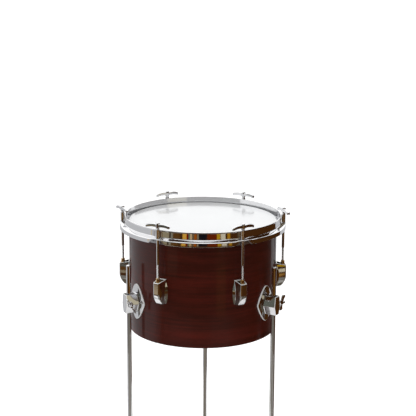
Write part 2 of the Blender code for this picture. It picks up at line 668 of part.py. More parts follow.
def build_brackets(material):
    """Place a leg bracket at every leg."""
    mesh = bracket_mesh()
    for number, azimuth in enumerate(LEG_AZIMUTHS, start=1):
        add_object(f"leg_bracket_{number}", mesh, material, on_shell(azimuth, BRACKET_MIDDLE))


def wing_bolt_mesh():
    """Make a wing bolt about local Z: a stud that presses the leg, a hub, a ball tip and two wings."""
    hub_end = BOLT_HUB_START + BOLT_HUB_LENGTH
    tip_end = hub_end + BOLT_TIP_LENGTH
    stud_end = LEG_RADIUS + TOUCH_GAP
    profile = [(0, stud_end), (BOLT_RADIUS, stud_end), (BOLT_RADIUS, BOLT_HUB_START),
               (BOLT_HUB_RADIUS, BOLT_HUB_START), (BOLT_HUB_RADIUS, hub_end - BOLT_NECK),
               (0.75 * BOLT_TIP_RADIUS, hub_end), (BOLT_TIP_RADIUS, hub_end + BOLT_TIP_LENGTH / 2),
               (BOLT_TIP_RADIUS / 2, tip_end), (0, tip_end)]
    stud = turned("stud", profile, 10)
    start = BOLT_WING_START
    end = start + BOLT_WING_LENGTH
    reach = BOLT_WING_RADIUS
    outline = [(0.0, start), (0.55 * reach, start), (0.9 * reach, start + 0.15 * BOLT_WING_LENGTH),
               (reach, start + 0.4 * BOLT_WING_LENGTH), (0.97 * reach, end - 0.1 * BOLT_WING_LENGTH),
               (0.78 * reach, end), (0.45 * reach, end - 0.6 * BOLT_WING_DIP), (0.0, end - BOLT_WING_DIP)]
    mirrored = [(-x, z) for x, z in reversed(outline[1:-1])]
    edge = BOLT_WING_THICKNESS / 2
    wings = lofted("wings", [[(x, y, z) for x, z in outline + mirrored] for y in (-edge, edge)])
    return shade(carve(stud, [(wings, Matrix.Identity(4))], "UNION"), 35.0)


def build_wing_bolts(material):
    """Screw a wing bolt into every bracket, with its origin on its own axis."""
    mesh = wing_bolt_mesh()
    for number, (azimuth, turn) in enumerate(zip(LEG_AZIMUTHS, BOLT_WING_TURNS), start=1):
        upright = Matrix.Rotation(math.radians(turn), 4, "Z")
        place = on_shell(azimuth, BRACKET_MIDDLE) @ bolt_frame() @ upright
        add_object(f"wing_bolt_{number}", mesh, material, place)


def leg_mesh():
    """Turn a straight leg rod with chamfered ends, from inside its foot to its top."""
    bottom = FOOT_SOLE + TOUCH_GAP
    profile = [(0, bottom), (LEG_RADIUS - LEG_CHAMFER, bottom), (LEG_RADIUS, bottom + LEG_CHAMFER),
               (LEG_RADIUS, LEG_TOP - LEG_CHAMFER), (LEG_RADIUS - LEG_CHAMFER, LEG_TOP), (0, LEG_TOP)]
    return shade(turned("leg", profile, 14))


def foot_mesh():
    """Turn a rubber foot: a tapering cup with a rounded sole and a blind bore for the leg."""
    bore = LEG_RADIUS + RUNNING_GAP
    taper = 0.55 * FOOT_RADIUS + 0.45 * FOOT_TOP_RADIUS
    profile = [(0, 0), (FOOT_RADIUS - FOOT_EDGE, 0), (FOOT_RADIUS, FOOT_EDGE), (FOOT_RADIUS, FOOT_SOLE),
               (taper, FOOT_HEIGHT / 2), (FOOT_TOP_RADIUS, FOOT_HEIGHT - FOOT_LIP),
               (FOOT_TOP_RADIUS - FOOT_LIP, FOOT_HEIGHT), (bore, FOOT_HEIGHT), (bore, FOOT_SOLE),
               (0, FOOT_SOLE)]
    return shade(turned("foot", profile, 16), 40.0)


def build_legs(leg_material, foot_material):
    """Stand the legs in their brackets, each with its rubber foot."""
    leg = leg_mesh()
    foot = foot_mesh()
    for number, azimuth in enumerate(LEG_AZIMUTHS, start=1):
        place = on_shell(azimuth, 0.0, LEG_STAND_OFF)
        rod = add_object(f"leg_{number}", leg, leg_material, place)
        sole = add_object(f"rubber_foot_{number}", foot, foot_material, place)
        sole.parent = rod
        sole.matrix_parent_inverse = place.inverted()


def screw_mesh(bite):
    """Turn a flanged screw along local Z, from its head inside the shell to its end in the casting."""
    seat = -SHELL_WALL - 2 * TOUCH_GAP
    under_head = seat - SCREW_FLANGE_THICKNESS
    head_end = under_head - SCREW_HEAD_HEIGHT
    profile = [(0, head_end), (SCREW_HEAD_RADIUS, head_end), (SCREW_HEAD_RADIUS, under_head),
               (SCREW_FLANGE_RADIUS, under_head), (SCREW_FLANGE_RADIUS, seat),
               (SCREW_RADIUS, seat), (SCREW_RADIUS, bite), (0, bite)]
    return shade(turned("screw", profile, 6))


def build_screws(name, places, bite, material):
    """Drive a screw from inside the shell at each place, two for each piece of hardware."""
    mesh = screw_mesh(bite)
    lie_outward = Matrix.Rotation(math.radians(-90.0), 4, "X")
    for index, (azimuth, height) in enumerate(places):
        level = "upper" if index % 2 == 0 else "lower"
        place = on_shell(azimuth, height) @ lie_outward
        add_object(f"{name}_screw_{index // 2 + 1}_{level}", mesh, material, place)


def centre_on_origin():
    """Move the whole drum so that the origin lies under the middle of its box."""
    bpy.context.view_layer.update()
    shift = Matrix.Translation((0.0, -AXIS_SETBACK, 0.0))
    for item in bpy.data.objects:
        if item.parent is None:
            item.matrix_world = shift @ item.matrix_world


def main():
    """Build the whole drum."""
    clear_scene()
    wood = make_material("mahogany_lacquer", (0.085, 0.018, 0.013), 0.28, coat=0.5)
    film = make_material("white_film", (0.86, 0.87, 0.88), 0.22)
    channel = make_material("satin_aluminium", (0.62, 0.63, 0.65), 0.35, 1.0)
    chrome = make_material("chrome", (0.78, 0.78, 0.79), 0.08, 1.0)
    brass = make_material("brass", (0.75, 0.55, 0.28), 0.25, 1.0)
    zinc = make_material("zinc_plated_steel", (0.55, 0.56, 0.58), 0.35, 1.0)
    rubber = make_material("black_rubber", (0.02, 0.02, 0.02), 0.75)
    build_shell(wood)
    build_drumhead(film)
    build_flesh_hoop(channel)
    build_counter_hoop(chrome)
    build_lugs(chrome)
    build_nuts(brass)
    build_tension_rods(chrome, chrome)
    build_brackets(chrome)
    build_wing_bolts(chrome)
    build_legs(chrome, rubber)
    build_screws("lug", lug_screw_places(), SCREW_BITE, zinc)
    build_screws("bracket", bracket_screw_places(), BRACKET_SCREW_BITE, zinc)
    centre_on_origin()


main()
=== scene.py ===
"""Studio scene of a mahogany drum with chromed hardware that stands on three clamped legs.

Metres, +Z up, the front of the drum towards -Y. Each sub-assembly is a class whose fields are its
sizes. Meshes are made about the drum's own axis and moved to its place at the end, and hardware is
made in a local frame on the shell: X along the tangent, Y outward and Z up.
"""
import logging
import math
from dataclasses import dataclass, field
from enum import Enum
from typing import Callable, Sequence

import bmesh
import bpy
from mathutils import Matrix, Vector


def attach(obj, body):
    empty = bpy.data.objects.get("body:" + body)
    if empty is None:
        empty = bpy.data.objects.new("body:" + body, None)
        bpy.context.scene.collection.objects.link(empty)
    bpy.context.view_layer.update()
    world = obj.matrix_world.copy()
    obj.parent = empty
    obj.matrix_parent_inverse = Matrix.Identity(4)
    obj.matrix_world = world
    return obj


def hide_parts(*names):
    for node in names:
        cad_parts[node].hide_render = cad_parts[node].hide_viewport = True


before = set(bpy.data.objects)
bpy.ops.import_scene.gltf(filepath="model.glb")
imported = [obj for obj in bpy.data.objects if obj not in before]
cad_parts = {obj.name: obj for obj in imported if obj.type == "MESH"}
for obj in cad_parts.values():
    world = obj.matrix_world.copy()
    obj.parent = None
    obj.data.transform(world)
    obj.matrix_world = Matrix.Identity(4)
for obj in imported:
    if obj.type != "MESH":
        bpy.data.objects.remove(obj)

Point = tuple[float, float]
Placement = Matrix

MM = 0.001
log = logging.getLogger("drum")


class Body(Enum):
    """The moving bodies of the drum, by the start of their names."""

    DRUM = "drum"
    ROD = "rod_"
    LEG = "leg_unit_"
    CLAMP = "clamp_"

    def name_for(self, number: int = 0) -> str:
        """Return the name of the body with this number, or of the drum itself."""
        return self.value if self is Body.DRUM else f"{self.value}{number}"


class Slot(Enum):
    """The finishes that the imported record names."""

    WOOD = "mahogany_lacquer"
    FILM = "white_film"
    ALUMINIUM = "satin_aluminium"
    CHROME = "chrome"
    BRASS = "brass"
    ZINC = "zinc_plated_steel"
    RUBBER = "black_rubber"


@dataclass(frozen=True)
class DrumLayout:
    """Sizes that several sub-assemblies share."""

    rim_height: float = 570.0 * MM
    shell_radius: float = 150.8 * MM
    shell_wall: float = 7.0 * MM
    axis_setback: float = 6.9 * MM
    rod_circle: float = 164.5 * MM
    leg_stand_off: float = 19.4 * MM
    lug_azimuths: tuple[float, ...] = (0.0, 60.0, 120.0, 180.0, 240.0, 300.0)
    leg_azimuths: tuple[float, ...] = (90.0, 211.8, 328.2)
    lug_middle: float = 442.05 * MM
    bracket_middle: float = 406.5 * MM
    bolt_height: float = 405.5 * MM

    @property
    def axis(self) -> Placement:
        """Return the placement of the drum's own axis."""
        return Matrix.Translation((0.0, -self.axis_setback, 0.0))

    def on_shell(self, azimuth: float, height: float, stand_off: float = 0.0) -> Placement:
        """Place the local frame of a piece of hardware.

        Args:
            azimuth: Degrees anticlockwise from +X, seen from above.
            height: Height above the floor.
            stand_off: Distance outward from the shell's outer surface.

        Returns:
            The placement, with X along the tangent, Y outward and Z up.
        """
        turn = Matrix.Rotation(math.radians(azimuth - 90.0), 4, "Z")
        return self.axis @ turn @ Matrix.Translation((0.0, self.shell_radius + stand_off, height))

    def shell_depth_at(self, offset: float, gap: float = 0.3 * MM) -> float:
        """Return the local Y of a face that keeps a gap to the round shell, beside the middle."""
        return math.sqrt((self.shell_radius + gap) ** 2 - offset ** 2) - self.shell_radius


class ShaderBench:
    """Builds the nodes of one material."""

    def __init__(self, name: str) -> None:
        """Start a material with an untouched Principled shader."""
        self.material = bpy.data.materials.new(name)
        self.material.use_nodes = True
        self.tree = self.material.node_tree
        self.shader = self.tree.nodes["Principled BSDF"]
        self.coordinates = self.tree.nodes.new("ShaderNodeTexCoord").outputs["Object"]

    def node(self, kind: str, **settings: object) -> bpy.types.Node:
        """Add a node.

        Args:
            kind: The node's type name.
            settings: Properties of the node, or socket values under the socket's name.

        Returns:
            The new node.
        """
        made = self.tree.nodes.new(kind)
        for key, value in settings.items():
            if hasattr(made, key):
                setattr(made, key, value)
            else:
                made.inputs[key.replace("_", " ").title()].default_value = value
        return made

    def wire(self, source: bpy.types.NodeSocket, target: bpy.types.NodeSocket) -> None:
        """Link two sockets."""
        self.tree.links.new(source, target)

    def set_finish(self, **values: float) -> None:
        """Set uniform numbers on the shader's own sockets, by socket name with underscores."""
        for key, value in values.items():
            self.shader.inputs[key.replace("_", " ").title().replace("Ior", "IOR")].default_value = value

    def noise(self, scale: Sequence[float], detail: float = 3.0, roughness: float = 0.55,
              source: bpy.types.NodeSocket | None = None, distortion: float = 0.0) -> bpy.types.NodeSocket:
        """Add a noise whose three scales stretch it along the axes.

        Args:
            scale: Features per metre along X, Y and Z.
            detail: Number of finer octaves.
            roughness: Strength of the finer octaves.
            source: The coordinates to read, or None for Object coordinates.
            distortion: How far the noise bends its own pattern.

        Returns:
            The noise's factor socket.
        """
        mapping = self.node("ShaderNodeMapping")
        mapping.inputs["Scale"].default_value = tuple(scale)
        self.wire(source or self.coordinates, mapping.inputs["Vector"])
        texture = self.node("ShaderNodeTexNoise")
        texture.inputs["Scale"].default_value = 1.0
        texture.inputs["Detail"].default_value = detail
        texture.inputs["Roughness"].default_value = roughness
        texture.inputs["Distortion"].default_value = distortion
        self.wire(mapping.outputs["Vector"], texture.inputs["Vector"])
        return texture.outputs["Fac"]

    def ramp(self, source: bpy.types.NodeSocket,
             stops: Sequence[tuple[float, tuple[float, float, float]]]) -> bpy.types.NodeSocket:
        """Turn a factor into a colour by stops of (position, colour)."""
        made = self.node("ShaderNodeValToRGB")
        elements = made.color_ramp.elements
        while len(elements) < len(stops):
            elements.new(0.5)
        for element, (position, color) in zip(elements, stops):
            element.position = position
            element.color = (*color, 1.0)
        self.wire(source, made.inputs["Fac"])
        return made.outputs["Color"]

    def spread(self, source: bpy.types.NodeSocket, low: float, high: float,
               start: float = 0.3, end: float = 0.7) -> bpy.types.NodeSocket:
        """Map a factor from start..end to low..high."""
        made = self.node("ShaderNodeMapRange")
        made.inputs["From Min"].default_value = start
        made.inputs["From Max"].default_value = end
        made.inputs["To Min"].default_value = low
        made.inputs["To Max"].default_value = high
        self.wire(source, made.inputs["Value"])
        return made.outputs["Result"]

    def mix(self, factor: bpy.types.NodeSocket | float, first: object, second: object,
            blend: str = "MIX") -> bpy.types.NodeSocket:
        """Mix two colours, each a socket or a plain colour, and return the result's socket."""
        made = self.node("ShaderNodeMix", data_type="RGBA", blend_type=blend)
        for value, index in ((factor, 0), (first, 6), (second, 7)):
            if isinstance(value, bpy.types.NodeSocket):
                self.wire(value, made.inputs[index])
            elif index == 0:
                made.inputs[0].default_value = value
            else:
                made.inputs[index].default_value = (*value, 1.0)
        return made.outputs[2]

    def bump(self, height: bpy.types.NodeSocket, distance: float, strength: float = 1.0) -> None:
        """Drive the shader's normal by a bump of this height in metres."""
        made = self.node("ShaderNodeBump")
        made.inputs["Strength"].default_value = strength
        made.inputs["Distance"].default_value = distance
        self.wire(height, made.inputs["Height"])
        self.wire(made.outputs["Normal"], self.shader.inputs["Normal"])


class GrainFace(Enum):
    """The two faces of the wooden tube, which are finished differently."""

    OUTSIDE = "mahogany_outside"
    INSIDE = "mahogany_inside"
    EDGE = "mahogany_ply_edge"


@dataclass(frozen=True)
class MahoganyLacquer:
    """Dark red-brown veneer with level grain under a clear lacquer, and a painted shadow of the hoop that darkens its
    top.
    """

    face: GrainFace
    shadow: tuple[float, float, float] = (0.024, 0.0033, 0.0011)
    body: tuple[float, float, float] = (0.052, 0.0044, 0.0011)
    glow: tuple[float, float, float] = (0.092, 0.0074, 0.0020)
    red_band: tuple[float, float, float] = (0.112, 0.0072, 0.0030)

    def make(self) -> bpy.types.Material:
        """Return the material for this face of the tube."""
        bench = ShaderBench(self.face.value)
        drift = bench.noise((5.0, 5.0, 16.0), detail=2.0)
        streaks = bench.noise((9.0, 9.0, 230.0), detail=7.0, roughness=0.68, distortion=0.25)
        pores = bench.noise((85.0, 85.0, 1900.0), detail=2.0, roughness=0.5)
        bands = bench.noise((2.2, 2.2, 34.0), detail=3.0, roughness=0.6)
        grain = bench.ramp(streaks, ((0.30, self.shadow), (0.52, self.body), (0.74, self.glow)))
        height = bench.node("ShaderNodeSeparateXYZ")
        bench.wire(bench.coordinates, height.inputs["Vector"])
        lower = bench.spread(height.outputs["Z"], 0.62, 0.10, start=0.35, end=0.52)
        band_share = bench.node("ShaderNodeMath", operation="MULTIPLY")
        bench.wire(bench.spread(bands, 0.0, 1.0, start=0.46, end=0.66), band_share.inputs[0])
        bench.wire(lower, band_share.inputs[1])
        reddened = bench.mix(band_share.outputs["Value"], grain, self.red_band)
        drifted = bench.mix(bench.spread(drift, 0.0, 0.45), reddened, self.shadow)
        # Painted shade: over the top few centimetres the veneer is mixed towards its darkest tone, which stands in for
        # the hoop's shadow on the upper shell.
        painted_hoop_shadow = bench.mix(bench.spread(height.outputs["Z"], 0.0, 0.38, start=0.42, end=0.54), drifted, self.shadow)
        pored = bench.mix(bench.spread(pores, 0.0, 0.5, start=0.56, end=0.72), painted_hoop_shadow, self.shadow)
        if self.face is GrainFace.OUTSIDE:
            bench.wire(pored, bench.shader.inputs["Base Color"])
            bench.set_finish(coat_weight=0.5, coat_roughness=0.09, coat_ior=1.5, ior=1.45, specular_ior_level=0.12)
            bench.wire(bench.spread(streaks, 0.34, 0.46), bench.shader.inputs["Roughness"])
        elif self.face is GrainFace.INSIDE:
            lifted = bench.mix(0.35, pored, (0.16, 0.055, 0.028))
            bench.wire(lifted, bench.shader.inputs["Base Color"])
            bench.wire(bench.spread(streaks, 0.5, 0.62), bench.shader.inputs["Roughness"])
        else:
            self._lay_plies(bench, pored)
        bench.bump(pores, 0.00006, 0.35)
        return bench.material

    def _lay_plies(self, bench: ShaderBench, veneer: bpy.types.NodeSocket) -> None:
        """Lay level rings of ply over the cut edge, by the distance from the drum's axis."""
        centred = bench.node("ShaderNodeMapping")
        centred.inputs["Location"].default_value = (0.0, LAYOUT.axis_setback, 0.0)
        centred.inputs["Scale"].default_value = (1.0, 1.0, 0.0)
        bench.wire(bench.coordinates, centred.inputs["Vector"])
        distance = bench.node("ShaderNodeVectorMath", operation="LENGTH")
        bench.wire(centred.outputs["Vector"], distance.inputs[0])
        rings = bench.node("ShaderNodeMath", operation="PINGPONG")
        bench.wire(distance.outputs["Value"], rings.inputs[0])
        rings.inputs[1].default_value = 1.15 * MM
        share = bench.spread(rings.outputs["Value"], 0.0, 1.0, start=0.35 * MM, end=0.8 * MM)
        plies = bench.mix(share, (0.105, 0.026, 0.016), (0.165, 0.050, 0.028))
        stained = bench.mix(0.35, plies, veneer)
        bench.wire(stained, bench.shader.inputs["Base Color"])
        bench.set_finish(roughness=0.4, coat_weight=0.4, coat_roughness=0.15)


@dataclass(frozen=True)
class Chrome:
    """Polished chrome plate with a faint unevenness of polish."""

    color: tuple[float, float, float] = (0.80, 0.80, 0.81)
    low_roughness: float = 0.035
    high_roughness: float = 0.085

    def make(self) -> bpy.types.Material:
        """Return the material."""
        bench = ShaderBench("polished_chrome")
        bench.set_finish(metallic=1.0)
        cloud = bench.noise((60.0, 60.0, 60.0), detail=4.0, roughness=0.6)
        tone = bench.mix(bench.spread(cloud, 0.0, 1.0), self.color, tuple(0.955 * part for part in self.color))
        bench.wire(tone, bench.shader.inputs["Base Color"])
        bench.wire(bench.spread(cloud, self.low_roughness, self.high_roughness), bench.shader.inputs["Roughness"])
        ripple = bench.noise((220.0, 220.0, 220.0), detail=1.0)
        bench.bump(ripple, 0.00003, 0.25)
        return bench.material


@dataclass(frozen=True)
class PaintedRimHighlight:
    """A near-white, mostly non-metal finish on the rounded rims of the castings: a painted highlight that stands in for
    the bright edge glints of the chrome.
    """

    color: tuple[float, float, float] = (0.96, 0.96, 0.95)
    metal_share: float = 0.12

    def make(self) -> bpy.types.Material:
        """Return the material."""
        bench = ShaderBench("painted_highlight_rim")
        bench.set_finish(metallic=self.metal_share)
        cloud = bench.noise((90.0, 90.0, 90.0), detail=3.0)
        tone = bench.mix(bench.spread(cloud, 0.0, 1.0), self.color, tuple(0.94 * part for part in self.color))
        bench.wire(tone, bench.shader.inputs["Base Color"])
        bench.wire(bench.spread(cloud, 0.20, 0.32), bench.shader.inputs["Roughness"])
        return bench.material


@dataclass(frozen=True)
class HeadFilm:
    """Smooth white drum film with a soft gloss."""

    color: tuple[float, float, float] = (0.625, 0.637, 0.648)

    def make(self) -> bpy.types.Material:
        """Return the material."""
        bench = ShaderBench("white_head_film")
        cloud = bench.noise((14.0, 14.0, 14.0), detail=5.0, roughness=0.6)
        tone = bench.mix(bench.spread(cloud, 0.0, 1.0), self.color, tuple(0.965 * part for part in self.color))
        bench.wire(tone, bench.shader.inputs["Base Color"])
        bench.wire(bench.spread(cloud, 0.16, 0.26), bench.shader.inputs["Roughness"])
        bench.set_finish(ior=1.5, coat_weight=0.5, coat_roughness=0.03)
        bench.bump(bench.noise((900.0, 900.0, 900.0), detail=2.0), 0.00002, 0.3)
        return bench.material


@dataclass(frozen=True)
class TurnedMetal:
    """Machined metal with fine tool marks round its axis."""

    name: str
    color: tuple[float, float, float]
    dark: tuple[float, float, float]
    roughness: tuple[float, float] = (0.24, 0.36)
    marks_per_metre: float = 2600.0

    def make(self) -> bpy.types.Material:
        """Return the material."""
        bench = ShaderBench(self.name)
        bench.set_finish(metallic=1.0)
        marks = bench.noise((30.0, 30.0, self.marks_per_metre), detail=2.0)
        cloud = bench.noise((160.0, 160.0, 160.0), detail=3.0)
        bench.wire(bench.mix(bench.spread(cloud, 0.0, 1.0), self.color, self.dark),
                   bench.shader.inputs["Base Color"])
        bench.wire(bench.spread(marks, *self.roughness), bench.shader.inputs["Roughness"])
        bench.bump(marks, 0.00003, 0.4)
        return bench.material


@dataclass(frozen=True)
class BlackRubber:
    """Matte moulded rubber with a fine skin."""

    color: tuple[float, float, float] = (0.012, 0.012, 0.013)

    def make(self) -> bpy.types.Material:
        """Return the material."""
        bench = ShaderBench("moulded_black_rubber")
        cloud = bench.noise((120.0, 120.0, 120.0), detail=4.0)
        tone = bench.mix(bench.spread(cloud, 0.0, 1.0), self.color, (0.026, 0.025, 0.025))
        bench.wire(tone, bench.shader.inputs["Base Color"])
        bench.wire(bench.spread(cloud, 0.55, 0.75), bench.shader.inputs["Roughness"])
        bench.bump(bench.noise((2500.0, 2500.0, 2500.0), detail=2.0), 0.00008, 0.5)
        return bench.material


class FinishShelf:
    """Makes each finish once and hands it out by name."""

    def __init__(self) -> None:
        """Make every finish of the drum."""
        self.wood = {face: MahoganyLacquer(face).make() for face in GrainFace}
        self.chrome = Chrome().make()
        # The rim finish is a painted highlight: near-white edges in place of the chrome's edge glints.
        self.rim = PaintedRimHighlight().make()
        self.film = HeadFilm().make()
        self.aluminium = TurnedMetal("satin_aluminium_ring", (0.56, 0.57, 0.59), (0.46, 0.47, 0.49)).make()
        self.brass = TurnedMetal("machined_brass", (0.80, 0.56, 0.26), (0.62, 0.40, 0.17), (0.14, 0.24)).make()
        self.zinc = TurnedMetal("zinc_plate", (0.55, 0.56, 0.58), (0.42, 0.43, 0.45), (0.3, 0.42), 900.0).make()
        self.rubber = BlackRubber().make()


class MeshWorks:
    """Plain mesh operations that every sub-assembly uses."""

    @staticmethod
    def store(shape: bmesh.types.BMesh, name: str, merge: bool = True) -> bpy.types.Mesh:
        """Weld, orient and store a bmesh as a mesh, and free it."""
        if merge:
            bmesh.ops.remove_doubles(shape, verts=shape.verts, dist=1e-6)
        bmesh.ops.recalc_face_normals(shape, faces=shape.faces)
        mesh = bpy.data.meshes.new(name)
        shape.to_mesh(mesh)
        shape.free()
        return mesh

    @staticmethod
    def rounded(corners: Sequence[tuple[float, float, float]], steps: int = 3,
                closed: bool = True) -> list[Point]:
        """Round the corners of an outline.

        Args:
            corners: Points as (first coordinate, second coordinate, radius).
            steps: Segments in each rounded corner. Every corner gives steps + 1 points.
            closed: Whether the last corner joins the first. An open outline keeps its ends.

        Returns:
            The outline with every corner eased by a short curve.
        """
        count = len(corners)
        points: list[Point] = []
        for index, (x, y, radius) in enumerate(corners):
            here = Vector((x, y))
            if not closed and index in (0, count - 1):
                points.append((x, y))
                continue
            before = Vector(corners[index - 1][:2]) - here
            after = Vector(corners[(index + 1) % count][:2]) - here
            reach = min(radius, 0.45 * before.length, 0.45 * after.length)
            start = here + before.normalized() * reach
            end = here + after.normalized() * reach
            for step in range(steps + 1):
                share = step / steps
                point = start * (1 - share) ** 2 + here * 2 * share * (1 - share) + end * share ** 2
                points.append((point.x, point.y))
        return points

    @classmethod
    def turned(cls, name: str, profile: Sequence[Point], segments: int = 64,
               closed: bool = False) -> bpy.types.Mesh:
        """Turn a profile about Z.

        Args:
            name: Name of the mesh.
            profile: Points as (radius, height). An open profile starts and ends on the axis.
            segments: Number of steps round the axis.
            closed: Whether the profile is a closed ring section.

        Returns:
            The turned solid.
        """
        shape = bmesh.new()
        rings = []
        for radius, height in profile:
            count = 1 if radius < 1e-7 else segments
            rings.append([shape.verts.new((radius * math.cos(math.tau * step / segments),
                                           radius * math.sin(math.tau * step / segments), height))
                          for step in range(count)])
        pairs = list(zip(rings, rings[1:]))
        if closed:
            pairs.append((rings[-1], rings[0]))
        for lower, upper in pairs:
            for step in range(segments):
                after = (step + 1) % segments
                corners = [lower[step % len(lower)], lower[after % len(lower)],
                           upper[after % len(upper)], upper[step % len(upper)]]
                face = list(dict.fromkeys(corners))
                if len(face) > 2:
                    shape.faces.new(face)
        return cls.store(shape, name)

    @classmethod
    def lofted(cls, name: str, sections: Sequence[Sequence[Sequence[float]]],
               closed: bool = False) -> bpy.types.Mesh:
        """Bridge rings of equally many points, and cap both ends unless the loft is closed."""
        shape = bmesh.new()
        rings = [[shape.verts.new(point) for point in section] for section in sections]
        pairs = list(zip(rings, rings[1:]))
        if closed:
            pairs.append((rings[-1], rings[0]))
        else:
            shape.faces.new(rings[0])
            shape.faces.new(rings[-1])
        for lower, upper in pairs:
            for index in range(len(lower)):
                after = (index + 1) % len(lower)
                shape.faces.new((lower[index], lower[after], upper[after], upper[index]))
        return cls.store(shape, name)

    @classmethod
    def joined(cls, name: str, parts: Sequence[tuple[bpy.types.Mesh, Placement]]) -> bpy.types.Mesh:
        """Join separate solids, each at its placement, into one mesh."""
        shape = bmesh.new()
        for mesh, placement in parts:
            start = len(shape.verts)
            shape.from_mesh(mesh)
            shape.verts.ensure_lookup_table()
            bmesh.ops.transform(shape, matrix=placement, verts=shape.verts[start:])
        mesh = bpy.data.meshes.new(name)
        shape.to_mesh(mesh)
        shape.free()
        return mesh

    @staticmethod
    def solid(name: str, mesh: bpy.types.Mesh) -> bpy.types.Object:
        """Link an object that shows the mesh at the origin."""
        item = bpy.data.objects.new(name, mesh)
        bpy.context.scene.collection.objects.link(item)
        return item

    @staticmethod
    def baked(item: bpy.types.Object) -> bpy.types.Mesh:
        """Return the object's mesh with its modifiers applied, and remove the object."""
        bpy.context.view_layer.update()
        graph = bpy.context.evaluated_depsgraph_get()
        mesh = bpy.data.meshes.new_from_object(item.evaluated_get(graph), depsgraph=graph)
        bpy.data.objects.remove(item, do_unlink=True)
        return mesh

    @classmethod
    def carved(cls, mesh: bpy.types.Mesh, tools: Sequence[tuple[bpy.types.Mesh, Placement]],
               operation: str = "DIFFERENCE") -> bpy.types.Mesh:
        """Return the mesh after an exact Boolean with each tool, in turn."""
        blank = cls.solid("blank", mesh)
        helpers = []
        for tool, placement in tools:
            cutter = cls.solid("cutter", tool)
            cutter.matrix_world = placement
            step = blank.modifiers.new("cut", "BOOLEAN")
            step.operation = operation
            step.solver = "EXACT"
            step.object = cutter
            helpers.append(cutter)
        result = cls.baked(blank)
        for cutter in helpers:
            bpy.data.objects.remove(cutter, do_unlink=True)
        return result

    @staticmethod
    def marked(mesh: bpy.types.Mesh, belongs: Callable[[Vector, Vector], bool]) -> bpy.types.Mesh:
        """Give the second material to the faces that a test picks out.

        Args:
            mesh: The mesh, which is changed.
            belongs: Tells from a face's middle and normal whether it gets the second material.

        Returns:
            The same mesh.
        """
        for face in mesh.polygons:
            face.material_index = int(belongs(face.center, face.normal))
        return mesh

    @staticmethod
    def shaded(mesh: bpy.types.Mesh, angle: float = 35.0) -> bpy.types.Mesh:
        """Shade the mesh smooth, keep edges over the angle sharp and let wide faces stay flat."""
        mesh.shade_smooth()
        mesh.set_sharp_from_angle(angle=math.radians(angle))
        blank = MeshWorks.solid("blank", mesh)
        step = blank.modifiers.new("weigh", "WEIGHTED_NORMAL")
        step.mode = "FACE_AREA"
        step.weight = 50
        step.keep_sharp = True
        return MeshWorks.baked(blank)


class Fitter:
    """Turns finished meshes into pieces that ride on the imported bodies."""

    def __init__(self) -> None:
        """Start with nothing fitted."""
        self.fitted = 0

    def fit(self, name: str, mesh: bpy.types.Mesh, materials: Sequence[bpy.types.Material], body: str,
            nodes: Sequence[str], placement: Placement | None = None) -> bpy.types.Object:
        """Fit a piece in the row frame.

        Args:
            name: Name of the piece.
            mesh: Its mesh, in its local frame. It is copied, so a shape can be used again.
            materials: The materials, in the order of the mesh's material indices.
            body: The body that it rides on.
            nodes: The solids that it stands for.
            placement: Where it goes, or None when the mesh is already in place.

        Returns:
            The fitted object, at the origin, with its place in its mesh.
        """
        own = mesh.copy()
        own.name = name
        if placement is not None:
            own.transform(placement)
        indices = [min(face.material_index, len(materials) - 1) for face in own.polygons]
        own.materials.clear()
        for material in materials:
            own.materials.append(material)
        own.polygons.foreach_set("material_index", indices)
        item = MeshWorks.solid(name, own)
        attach(item, body)
        if nodes:
            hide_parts(*nodes)
        self.fitted += 1
        log.info("%s: %d faces on %s", name, len(own.polygons), body)
        return item


